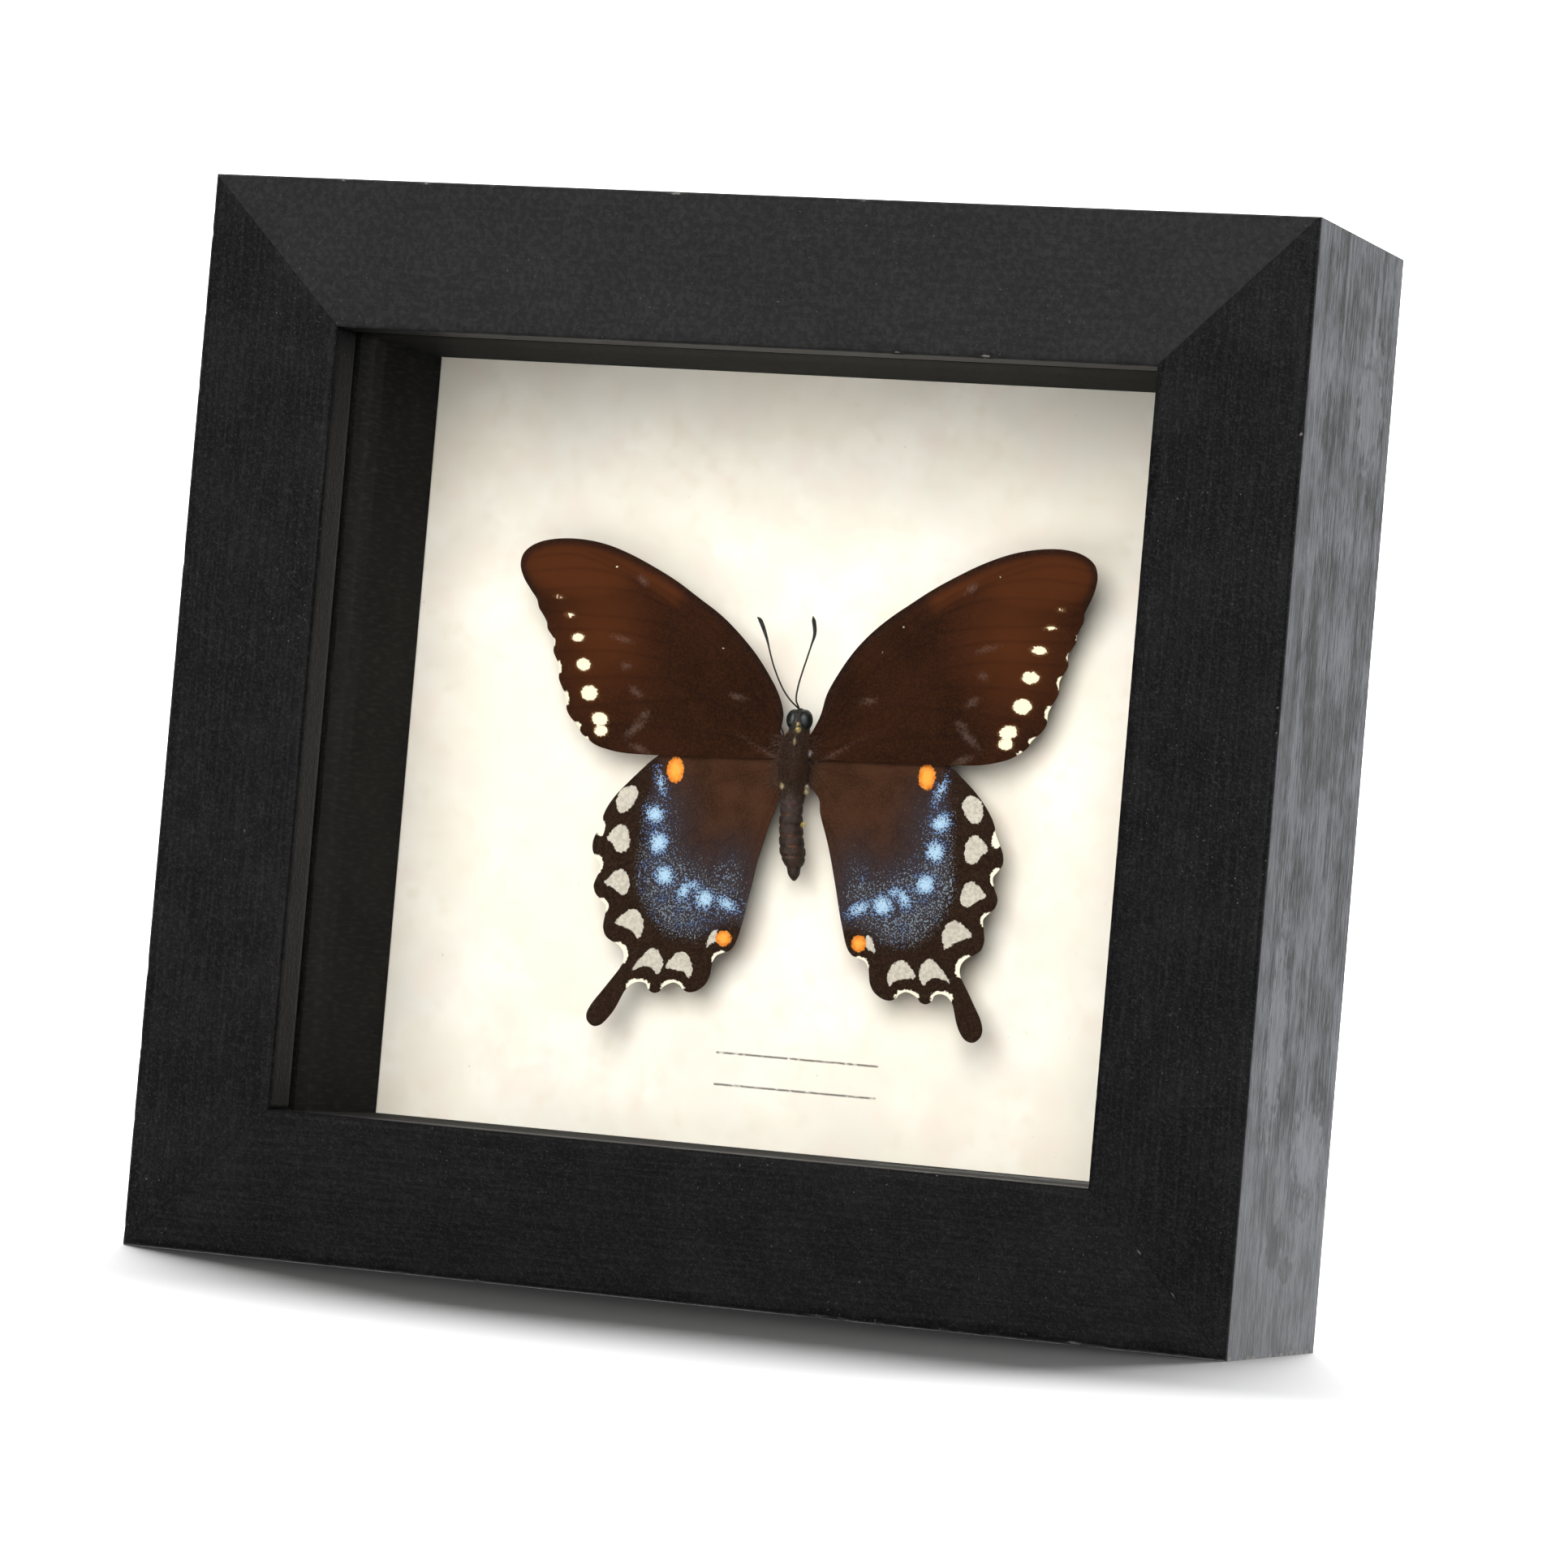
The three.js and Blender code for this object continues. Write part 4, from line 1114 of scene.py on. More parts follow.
# %% Hindwing finish
def hindwing_finish():
    scales = Finish("hindwing_scales", VELVET)
    place = scales.place()
    cloud, fine = scales.noise(place, 4, 4), scales.noise(place, 0.3, 4)
    jitter = ragged(scales, place)
    base = scales.mix(scales.between(cloud, 0.3, 0.7), screen(48, 27, 14), screen(62, 37, 22))
    cold = scales.between(scales.mark("dust"), -9.0, 0.5)
    base = scales.mix(cold, base, screen(44, 37, 38))
    haze = scales.between(scales.mark("dust"), -4.5, 1.5)
    base = scales.tint(base, haze, 0.45, 48, 49, 58)
    outer = scales.between(scales.mark("band"), -1.8, 0.6)
    base = scales.mix(outer, base, screen(29, 18, 10))
    base = scales.tint(base, scales.between(fine, 0.38, 0.66), 0.35, 70, 50, 36)
    base = blue_scales(scales, place, base)
    base = darker_veins(scales, base, 0.12)
    mottle = scales.between(scales.noise(place, 0.5, 4), 0.35, 0.65)
    pale = scales.mix(mottle, screen(176, 169, 155), screen(199, 192, 176))
    base = scales.mix(inside(scales, "pale", jitter), base, pale)
    heart = scales.between(scales.mark("orange"), 0.1, 0.9)
    amber = scales.mix(heart, screen(206, 112, 34), screen(232, 158, 60))
    amber = scales.tint(amber, mottle, 0.3, 238, 178, 88)
    base = scales.mix(inside(scales, "orange", jitter), base, amber)
    base = scales.mix(inside(scales, "notch", jitter), base, screen(240, 231, 206))
    scales.emboss(fine, 0.05, 0.7)
    return scales.done(base, 0.8)


def blue_scales(scales, place, base):
    """Single blue scales, thinly strewn in the dusted field and close together in the patches."""
    single = scales.noise(place, 0.26, 2)
    hue = scales.between(scales.noise(place, 2.4, 2), 0.45, 0.65)
    dust = scales.calc("MULTIPLY", scales.between(scales.mark("dust"), -6.5, 3.0), 0.26)
    shown = scales.between(scales.calc("ADD", dust, single), 0.76, 0.86)
    shown = scales.calc("MULTIPLY", shown, scales.between(scales.mark("band"), 1.4, -0.2))
    base = scales.mix(shown, base, scales.mix(hue, screen(116, 127, 136), screen(80, 104, 142)))
    middle = scales.between(scales.mark("blue"), -0.9, 1.1)
    blue = scales.mix(middle, screen(78, 110, 164), screen(166, 197, 217))
    patch_share = scales.calc("MULTIPLY", scales.between(scales.mark("blue"), -2.2, 1.6), 0.53)
    close = scales.between(scales.calc("ADD", patch_share, single), 0.76, 0.94)
    return scales.mix(close, base, blue)


hind_finish = hindwing_finish()
print(hind_finish.name, "is mixed from", len(hind_finish.node_tree.nodes), "nodes")

# %% Wings
for side_name, side_sign in SIDES.items():
    root_u = wing_root(side_sign)
    drop = WING_DROP[side_name]
    blade = FOREWING_COSTA + FOREWING_MARGIN + FOREWING_HIND_EDGE
    blade = [tuple(point) for point in turned(np.array(blade), -drop, (root_u, 0))]
    start = root_u - ROOT_OVERLAP
    fore_outline = [(start, 4.4), (root_u, 4.6), *blade, (root_u, 0.9), (start, 1.0)]
    wing(
        f"forewing_{side_name}_scaled", side_sign, fore_outline, forewing_depth, forewing_marks,
        FOREWING_COSTA, drop, fore_finish, f"forewing_{side_name}",
    )
    hind_edge = HINDWING_COSTA + HINDWING_MARGIN + HINDWING_TAIL
    inner = HINDWING_LOWER_MARGIN + HINDWING_INNER_EDGE
    hind_outline = [(start, 1.8), (root_u, 2), *hind_edge, *inner, (root_u, -3.2), (start, -3)]
    wing(
        f"hindwing_{side_name}_scaled", side_sign, hind_outline, hindwing_depth, hindwing_marks,
        HINDWING_COSTA, 0.0, hind_finish, f"hindwing_{side_name}",
    )

# %% [markdown]
# ## Growing small things on a path or a surface
# Veins, the fringe of the wings, the rings of the antennae and the body's hair all repeat along a
# path or over a skin. Geometry Nodes are made for that: one small tree holds the rule, with named
# inputs for its sizes, and the same tree serves both sides of the specimen. The result is turned
# into a plain mesh, so nothing of the tree is left on the finished piece.

# %% The tree helper
class Growth:
    """A Geometry Nodes tree with named inputs, built one node at a time."""

    def __init__(self, name):
        self.group = bpy.data.node_groups.new(name, "GeometryNodeTree")
        self.group.interface.new_socket("Geometry", in_out="INPUT", socket_type="NodeSocketGeometry")
        self.group.interface.new_socket("Geometry", in_out="OUTPUT", socket_type="NodeSocketGeometry")
        self.start = self.group.nodes.new("NodeGroupInput")
        self.end = self.group.nodes.new("NodeGroupOutput")
        self.identifiers = {}
        self.source = self.start.outputs["Geometry"]

    def size(self, name, kind="Float"):
        """A named input."""
        socket = self.group.interface.new_socket(name, in_out="INPUT", socket_type=f"NodeSocket{kind}")
        self.identifiers[name] = socket.identifier
        return self.start.outputs[name]

    def add(self, kind, sockets, out=0, **settings):
        return add_node(self.group, kind, sockets, out, **settings)

    def calc(self, operation, first, second=0.0):
        return self.add("ShaderNodeMath", {0: first, 1: second}, operation=operation)

    def noted(self, name, kind="FLOAT"):
        """A value that the source mesh carries."""
        return self.add("GeometryNodeInputNamedAttribute", {"Name": name}, data_type=kind)

    def path(self):
        return self.add("GeometryNodeMeshToCurve", {"Mesh": self.source})

    def sweep(self, curve, radius, sides):
        """A round bar along a curve, closed at both ends."""
        section = self.add("GeometryNodeCurvePrimitiveCircle", {"Resolution": sides, "Radius": 1.0})
        sockets = {"Curve": curve, "Profile Curve": section, "Scale": radius, "Fill Caps": True}
        return self.add("GeometryNodeCurveToMesh", sockets)

    def lean(self, amount, seed):
        """A small random vector, another one at each point."""
        low, high = (-amount,) * 3, (amount,) * 3
        sockets = {0: low, 1: high, "Seed": seed}
        return self.add("FunctionNodeRandomValue", sockets, data_type="FLOAT_VECTOR")

    def vector(self, operation, first, second):
        return self.add("ShaderNodeVectorMath", {0: first, 1: second}, operation=operation)

    def spikes(self, points, towards, thickness, length, size, sides=3):
        """A thin cone at each point, turned towards a direction."""
        turn = self.add("FunctionNodeAlignRotationToVector", {"Vector": towards}, axis="Z")
        shape = {"Vertices": sides, "Radius Top": 0.0, "Radius Bottom": thickness, "Depth": length}
        spike = self.add("GeometryNodeMeshCone", shape)
        sockets = {"Points": points, "Instance": spike, "Rotation": turn, "Scale": size}
        return self.add("GeometryNodeInstanceOnPoints", sockets)

    def finish(self, geometry):
        realized = self.add("GeometryNodeRealizeInstances", {"Geometry": geometry})
        finish = self.size("Finish", "Material")
        dressed = self.add("GeometryNodeSetMaterial", {"Geometry": realized, "Material": finish})
        self.group.links.new(dressed, self.end.inputs[0])
        return self


print("a tree takes its sizes as named inputs")

# %% Running a tree
def grow(name, source, growth, material, slot, **sizes):
    """Runs a tree on a source object and keeps the result as a plain mesh."""
    modifier = source.modifiers.new(name, "NODES")
    modifier.node_group = growth.group
    for size_name, value in {**sizes, "Finish": material}.items():
        modifier[growth.identifiers[size_name]] = value
    graph = bpy.context.evaluated_depsgraph_get()
    mesh = bpy.data.meshes.new_from_object(source.evaluated_get(graph))
    source.modifiers.remove(modifier)
    mesh.name = name
    return join(new_object(name, mesh))


def path_object(name, paths):
    """Open paths in millimetres, as a mesh of edges with each point's share of its path."""
    points, edges, shares = [], [], []
    for path in paths:
        first = len(points)
        points.extend(path)
        edges.extend((first + step, first + step + 1) for step in range(len(path) - 1))
        shares.extend(np.linspace(0, 1, len(path)))
    mesh = new_mesh(name, points, edges=edges)
    note(mesh, "share", shares)
    return new_object(name, mesh)


print("what a tree grows is kept as a plain mesh")

# %% [markdown]
# ## Veins
# A butterfly's wing is stretched over thin hollow tubes, stout at the root and as fine as a hair
# at the margin. Here each vein is a path laid on the bent wing, and the tree sweeps a small round
# section along it that gets thinner with the share of the way. Half of the tube sinks into the
# membrane, which leaves the low rounded rib that catches the light. Scales cover the veins too, so
# the paths carry the same marks as the wing, and the tubes wear the wing's own finish.

# %% Veins
VEIN = {"root": 0.1, "tip": 0.03}


def vein_growth():
    growth = Growth("veins")
    at_root, at_tip = growth.size("Root radius"), growth.size("Tip radius")
    share = growth.noted("share")
    radius = growth.add("ShaderNodeMapRange", {"Value": share, "To Min": at_root, "To Max": at_tip})
    return growth.finish(growth.sweep(growth.path(), radius, 6))


def laid_on(path, sign, depth_at, drop, root, lift):
    """A path in u and v, laid on the bent wing, as points in the case."""
    u, v = turned(path, -drop, (root, 0)).T
    return to_case(np.stack([sign * u, depth_at(u, v) + cockle(u, v) - lift, v], 1))


def vein_piece(name, sign, paths, depth_at, drop, marks_of, costa, material, slot):
    """The veins of one wing, with the wing's own marks noted along them."""
    smooth = [smooth_path(path, 5) for path in paths]
    root, lift = wing_root(sign), SHELL_THICKNESS / 2
    laid = [laid_on(path, sign, depth_at, drop, root, lift) for path in smooth]
    source = path_object(f"{name}_paths", laid)
    for mark, values in marks_of(np.concatenate(smooth), smooth_path(costa, 6)).items():
        note(source.data, mark, values)
    grow(
        name, source, veins, material, slot,
        **{"Root radius": VEIN["root"] * MM, "Tip radius": VEIN["tip"] * MM},
    )
    bpy.data.objects.remove(source)


veins = vein_growth()
for side_name, side_sign in SIDES.items():
    drop = WING_DROP[side_name]
    vein_piece(
        f"forewing_{side_name}_veins", side_sign, FOREWING_VEINS, forewing_depth, drop,
        forewing_marks, FOREWING_COSTA, fore_finish, "forewing_scales",
    )
    vein_piece(
        f"hindwing_{side_name}_veins", side_sign, HINDWING_VEINS, hindwing_depth, 0.0,
        hindwing_marks, HINDWING_COSTA, hind_finish, "hindwing_scales",
    )

# %% [markdown]
# ## The fringe
# The margin of a wing ends in a row of long narrow scales, cream in the notches and dark at the
# lobes. The tree walks along the margin and sets a small spike at each step, turned outwards in
# the plane of the wing, with random length and lean. The seed is fixed, so that every run gives
# the same fringe. Each spike keeps the value of its place on the path, which the finish reads.

# %% Fringe
FRINGE = {"step": 0.09, "length": 0.34, "thickness": 0.05, "seed": 7}


def fringe_growth():
    growth = Growth("fringe")
    step, length, thickness = growth.size("Step"), growth.size("Length"), growth.size("Thickness")
    side, seed = growth.size("Side"), growth.size("Seed", "Int")
    walk = {"Curve": growth.path(), "Length": step}
    walked = growth.add("GeometryNodeResampleCurve", walk, mode="LENGTH")
    through = growth.add("ShaderNodeCombineXYZ", {"Y": side})
    outward = growth.vector("CROSS_PRODUCT", growth.add("GeometryNodeInputTangent", {}), through)
    towards = growth.vector("ADD", outward, growth.lean(0.35, seed))
    size = growth.add("FunctionNodeRandomValue", {2: 0.5, 3: 1.1, "Seed": seed}, out=1)
    return growth.finish(growth.spikes(walked, towards, thickness, length, size))


def fringe_finish():
    scales = Finish("fringe_scales", VELVET)
    pale = scales.between(scales.mark("pale"), -0.2, 0.15)
    return scales.done(scales.mix(pale, screen(38, 24, 15), screen(232, 218, 184)), 0.8)


def margin_fringe(name, sign, margin, depth_at, drop, notches, slot):
    """Fringe along a margin that is given in u and v, from its upper end."""
    root = wing_root(sign)
    flat = smooth_path(margin, 8)
    pale = strongest(oval(flat, *notch) for notch in notches)
    u, v = turned(flat, -drop, (root, 0)).T
    laid = to_case(np.stack([sign * u, depth_at(u, v) + cockle(u, v), v], 1))
    source = path_object(f"{name}_path", [laid])
    note(source.data, "pale", pale)
    grow(
        name, source, fringe, fringe_scales, slot, Seed=FRINGE["seed"], Side=-float(sign),
        Step=FRINGE["step"] * MM, Length=FRINGE["length"] * MM, Thickness=FRINGE["thickness"] * MM,
    )
    bpy.data.objects.remove(source)


fringe, fringe_scales = fringe_growth(), fringe_finish()
for side_name, side_sign in SIDES.items():
    drop = WING_DROP[side_name]
    margin_fringe(
        f"forewing_{side_name}_fringe", side_sign, FOREWING_COSTA[-3:] + FOREWING_MARGIN,
        forewing_depth, drop, FOREWING_NOTCHES, "forewing_scales",
    )
    margin_fringe(
        f"hindwing_{side_name}_fringe", side_sign,
        HINDWING_MARGIN + HINDWING_TAIL + HINDWING_LOWER_MARGIN,
        hindwing_depth, 0.0, HINDWING_NOTCHES, "hindwing_scales",
    )

# %% [markdown]
# ## The body
# Head, thorax and abdomen grew as one, and they have dried: the abdomen has shrunk between its
# rings and bends slightly to one side. A stack of rings along the body's wandering middle line is
# the simplest way to control that. The radius dips at each joint of the abdomen, and noise makes
# the skin uneven.

# %% Body sizes
BODY_PROFILE = [
    (8.5, 0.05), (8.3, 0.75), (7.6, 1.3), (6.8, 1.5), (6, 1.55), (5.4, 1.5), (4.8, 1.55), (4, 1.88),
    (2.6, 2.1), (1, 2.15), (-0.6, 2.1), (-2.2, 1.95), (-3.6, 1.8), (-5, 1.76), (-7, 1.72),
    (-9, 1.76), (-11.1, 1.84), (-13.2, 1.93), (-14, 1.84), (-14.8, 1.5), (-15.3, 1.2), (-15.7, 1.02),
    (-16.5, 0.86), (-17.2, 0.38), (-17.5, 0.05),
]
BODY_DEPTH_SHARE = 1.1
BODY_RING_STEP = 0.14
BODY_SIDES = 56
ABDOMEN = {"top": -4.4, "end": -17.0, "rings": 8, "crease": 0.09}
SKIN_UNEVEN = 0.09
HAIR_LIFT = 0.55  # how far hair stands off, against how far it lies back
print("the body is", BODY_PROFILE[0][0] - BODY_PROFILE[-1][0], "mm long")

# %% Dry skin
def body_finish():
    skin = Finish("dry_skin", {"Specular IOR Level": 0.25})
    place = skin.place()
    cloud = skin.noise(place, 1.1, 4)
    base = skin.mix(skin.between(cloud, 0.35, 0.65), screen(22, 14, 9), screen(44, 28, 18))
    cover = skin.between(skin.noise(place, 0.5, 4), 0.4, 0.65)
    base = skin.tint(base, skin.calc("MULTIPLY", skin.mark("bloom"), cover), 0.5, 92, 78, 80)
    ring = skin.between(skin.mark("ring"), 0.35, 0.9)
    joint = skin.calc("MULTIPLY", ring, skin.between(cloud, 0.45, 0.6))
    base = skin.tint(base, joint, 0.6, 94, 48, 26)
    head = skin.mark("head")
    base = skin.tint(base, head, 0.9, 8, 9, 8)
    fine = skin.noise(place, 0.22, 4)
    base = skin.tint(base, skin.between(fine, 0.45, 0.7), 0.25, 92, 72, 50)
    skin.emboss(skin.calc("ADD", cloud, fine), 0.2, 0.9)
    return skin.done(base, 0.6)


dry_skin = body_finish()
print(dry_skin.name, "is mixed from", len(dry_skin.node_tree.nodes), "nodes")

# %% Body mesh
def body():
    heights = np.arange(BODY_PROFILE[0][0], BODY_PROFILE[-1][0], -BODY_RING_STEP)
    spots, radii = np.array(BODY_PROFILE[::-1]).T
    radius = np.interp(heights, spots, radii)
    radius[1:-1] = np.convolve(radius, np.ones(3) / 3, "valid")
    share = (ABDOMEN["top"] - heights) / (ABDOMEN["top"] - ABDOMEN["end"])
    on_abdomen = bend((0, 0.08), share) * (1 - bend((0.97, 1), share))
    ring = (0.5 + 0.5 * np.cos(2 * np.pi * share * ABDOMEN["rings"])) ** 4 * on_abdomen
    points = []
    for v, r, crease in zip(heights, radius, ring):
        for side in range(BODY_SIDES):
            turn = 2 * math.pi * side / BODY_SIDES
            cosine, sine = math.cos(turn), math.sin(turn)
            bump = SKIN_UNEVEN * noise.noise(Vector((cosine * 1.6, v * 0.8, sine * 1.6)))
            reach = r * (1 - ABDOMEN["crease"] * crease) + bump * min(1, r)
            points.append((body_middle(v) + reach * cosine, reach * sine * BODY_DEPTH_SHARE, v))
    faces = tube(len(heights), BODY_SIDES)
    piece = add_piece("body_trunk", to_case(points), faces, dry_skin, smooth=180)
    by_height = {
        "ring": ring,
        "head": bend((2.4, 5.4), heights),
        "bloom": bend((-9, -5), heights) * (1 - bend((-4, -2), heights)),
        "fluff": bend((-6.5, -3.2), heights) * (1 - 0.85 * bend((4.6, 5.6), heights)) + 0.05,
    }
    for name, values in by_height.items():
        note(piece.data, name, np.repeat(values, BODY_SIDES))
    normals = np.array([tuple(vertex.normal) for vertex in piece.data.vertices], np.float32)
    note(piece.data, "outward", normals * HAIR_LIFT)
    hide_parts("butterfly_body")
    return piece


trunk = body()

# %% [markdown]
# ## Hair
# Thorax and head carry soft hair that lies back towards the tail; the abdomen is nearly bare. The
# tree scatters points over the trunk, thicker where the fluff value is high, and sets a thin spike
# at each, turned between the skin's own direction and the tail. Hair is the reason why the body
# doesn't look like turned wood.

# %% Hair
HAIR = {"per_square_mm": 110, "length": 0.8, "thickness": 0.02, "seed": 3}


def hair_growth():
    growth = Growth("hair")
    density, length, thickness = growth.size("Density"), growth.size("Length"), growth.size("Thickness")
    comb, seed = growth.size("Comb", "Vector"), growth.size("Seed", "Int")
    fluff = growth.noted("fluff")
    scatter = {"Mesh": growth.source, "Density": growth.calc("MULTIPLY", fluff, density), "Seed": seed}
    points = growth.add("GeometryNodeDistributePointsOnFaces", scatter)
    out_of_skin = growth.noted("outward", "FLOAT_VECTOR")
    towards = growth.vector("ADD", growth.vector("ADD", out_of_skin, comb), growth.lean(0.6, seed))
    uneven = growth.add("FunctionNodeRandomValue", {2: 0.5, 3: 1.2, "Seed": seed}, out=1)
    size = growth.calc("MULTIPLY", uneven, growth.calc("ADD", growth.calc("MULTIPLY", fluff, 0.7), 0.3))
    return growth.finish(growth.spikes(points, towards, thickness, length, size))


def hair_finish(name, dark, light):
    hair = Finish(name, {"Specular IOR Level": 0.2})
    tone = hair.noise(hair.place(), 0.3, 2)
    return hair.done(hair.mix(hair.between(tone, 0.38, 0.7), dark, light), 0.6)


brown_hair = hair_finish("body_hair", screen(20, 12, 7), screen(88, 58, 36))
grey_hair = hair_finish("root_hair", screen(36, 22, 15), screen(106, 84, 70))
comb = Vector(to_case([(0, 0, -1)])[0] - to_case([(0, 0, 0)])[0])
hair_rule = hair_growth()


def grow_hair(name, skin, hair, combed, material):
    """Grows hair on a skin. The more it is combed, the more it lies back towards the tail."""
    grow(
        name, skin, hair_rule, material, "body_hair",
        Seed=HAIR["seed"], Comb=comb * combed, Density=hair["per_square_mm"] / MM**2,
        Length=hair["length"] * MM, Thickness=hair["thickness"] * MM,
    )


grow_hair("body_hair", trunk, HAIR, 1.0, brown_hair)

# %% Hair on the wing roots
ROOT_HAIR = {"per_square_mm": 34, "length": 1.7, "thickness": 0.018, "step": 0.4}
ROOT_PATCH = {"inner": 1.7, "outer": 5.2, "foot": -3.2, "top": 4.6}


def root_hair(side_name, sign):
    """Hair that spreads from the trunk over the wings, grown on a strip that is then removed."""
    step = ROOT_HAIR["step"]
    columns = np.arange(ROOT_PATCH["inner"], ROOT_PATCH["outer"], step)
    rows = np.arange(ROOT_PATCH["foot"], ROOT_PATCH["top"], step)
    u, v = (grid.ravel() for grid in np.meshgrid(columns, rows, indexing="ij"))
    depth = np.where(v > 0.9, forewing_depth(u, v), hindwing_depth(u, v)) + cockle(u, v) - 0.1
    points = to_case(np.stack([sign * u + body_middle(v), depth, v], 1))
    mesh = new_mesh("root_strip", points, faces=bands(len(columns), len(rows), closed=False))
    outward = np.stack([np.full(len(u), 0.9 * sign), np.full(len(u), -0.2), 0.1 * v - 0.3], 1)
    note(mesh, "outward", outward)
    note(mesh, "fluff", 1 - 0.95 * bend((ROOT_PATCH["inner"] + 0.4, ROOT_PATCH["outer"]), u))
    strip = new_object("root_strip", mesh)
    grow_hair(f"root_hair_{side_name}", strip, ROOT_HAIR, 0.2, grey_hair)
    bpy.data.objects.remove(strip)


for side_name, side_sign in SIDES.items():
    root_hair(side_name, side_sign)

# %% [markdown]
# ## Eyes
# The head is nearly all eye: two large domes of tiny lenses, black with a cold green glint. Each
# is a smooth ball, a little flattened against the head, and a fine cell pattern roughens its gloss.

# %% Eyes
EYE = {"radii": (1.2, 1.35, 1.6), "apart": 1.68, "forward": 0.3, "v": 6.7, "rings": 20}


def eye_finish():
    gloss = {"Roughness": 0.34, "Specular IOR Level": 0.25, "Coat Weight": 0.25, "Coat Roughness": 0.1}
    lens = Finish("eye_lens", gloss)
    place = lens.place()
    cells = lens.cells(place, 0.1)
    lens.emboss(lens.calc("ADD", cells, lens.noise(place, 0.7, 3)), 0.05, 0.7)
    return lens.done(lens.mix(cells, screen(6, 8, 7), screen(19, 26, 23)))


def ball(middle, radii, rings):
    """Points and faces of a closed ball."""
    turns = np.linspace(0, math.pi, rings + 1)[1:-1]
    sides = 2 * rings
    points = [(0, 0, 1)]
    for turn in turns:
        for side in range(sides):
            angle = 2 * math.pi * side / sides
            reach = math.sin(turn)
            points.append((reach * math.cos(angle), reach * math.sin(angle), math.cos(turn)))
    points.append((0, 0, -1))
    faces = [(0, 1 + side, 1 + (side + 1) % sides) for side in range(sides)]
    faces += shifted(bands(len(turns), sides), 1)
    last = len(points) - 1
    faces += [(last, last - sides + (side + 1) % sides, last - sides + side) for side in range(sides)]
    return np.array(points) * radii + middle, faces


eye_points, eye_faces = [], []
for side in (-0.5, 0.5):
    middle = (float(body_middle(EYE["v"])) + side * EYE["apart"], -EYE["forward"], EYE["v"])
    points, faces = ball(middle, EYE["radii"], EYE["rings"])
    eye_faces += shifted(faces, len(eye_points))
    eye_points.extend(points)
add_piece("eyes", to_case(eye_points), eye_faces, eye_finish(), smooth=180)

# %% [markdown]
# ## Pale tufts
# Small tufts of pale scales stand out on the dark body: yellow ones on the head, a lilac grey one
# over the wing joint and cream ones at the side. Each is a small flat mound in the skin, and the
# hair tree covers all the mounds at once. A value on each mound says how yellow it is.

# %% Tufts
TUFTS = [  # sideways from the body's middle, v, half width, half height, how yellow
    (0.45, 5.2, 0.3, 0.3, 1.0), (0.3, 6.05, 0.17, 0.2, 0.8), (-1.5, 5.0, 0.2, 0.22, 0.4),
    (0.5, 3.4, 0.12, 0.4, 0.5), (2.3, 1.8, 0.34, 0.45, 0.0), (2.3, -3.3, 0.24, 0.3, 0.3),
    (2.3, -4.0, 0.28, 0.28, 0.5), (2.0, -8.9, 0.34, 0.24, 1.0), (-0.9, -3.3, 0.28, 0.45, 0.5),
]
TUFT = {"depth": 0.24, "lift": 0.1, "rings": 8}
TUFT_HAIR = {"per_square_mm": 130, "length": 0.4, "thickness": 0.02}


def tuft_mounds():
    points, faces, outward, yellow = [], [], [], []
    for aside, v, half_width, half_height, how_yellow in TUFTS:
        reach = float(np.interp(v, *np.array(BODY_PROFILE[::-1]).T))
        half_depth = math.sqrt(max(reach**2 - min(abs(aside), reach) ** 2, 0.0))
        forward = -BODY_DEPTH_SHARE * half_depth - TUFT["lift"]
        middle = np.array((float(body_middle(v)) + aside, forward, v))
        mound, mound_faces = ball(middle, (half_width, TUFT["depth"], half_height), TUFT["rings"])
        faces += shifted(mound_faces, len(points))
        points.extend(mound)
        outward.extend((mound - middle) / np.linalg.norm(mound - middle, axis=1)[:, None])
        yellow += [how_yellow] * len(mound)
    finish = Finish("pale_tufts", {"Specular IOR Level": 0.2})
    hue = finish.mix(finish.mark("yellow"), screen(176, 166, 172), screen(224, 204, 116))
    soft = finish.between(finish.noise(finish.place(), 0.25, 3), 0.3, 0.7)
    material = finish.done(finish.mix(soft, screen(110, 92, 70), hue), 0.7)
    mounds = add_piece("pale_tufts", to_case(points), faces, material, smooth=180)
    note(mounds.data, "outward", outward)
    note(mounds.data, "yellow", yellow)
    note(mounds.data, "fluff", np.ones(len(points)))
    grow_hair("tuft_hair", mounds, TUFT_HAIR, 0.6, material)


tuft_mounds()

# %% [markdown]
# ## Antennae
# An antenna is a chain of about forty short rings that swells into a club at its end. It follows a
# path, so a tree sweeps a round section along it. The radius has two parts: a slow swell from stalk
# to club, and a small wave with one crest for each ring.

# %% Antennae
ANTENNA_PATHS = {
    "left": [
        (-0.5, 8.2), (-0.5, 8.5), (-2.6, 11.1), (-4.35, 14.7), (-5.65, 18.8), (-6.7, 21.3),
        (-7.3, 21.9),
    ],
    "right": [
        (-0.35, 8.2), (-0.35, 8.6), (-0.5, 10.1), (-0.2, 12), (0.35, 14), (0.9, 15.8), (1.5, 17.8),
        (2, 19.8), (1.6, 22.2),
    ],
}
ANTENNA_LIFT = 1.3
ANTENNA = {"stalk": 0.13, "club": 0.31, "ring": 0.34, "wave": 0.09}


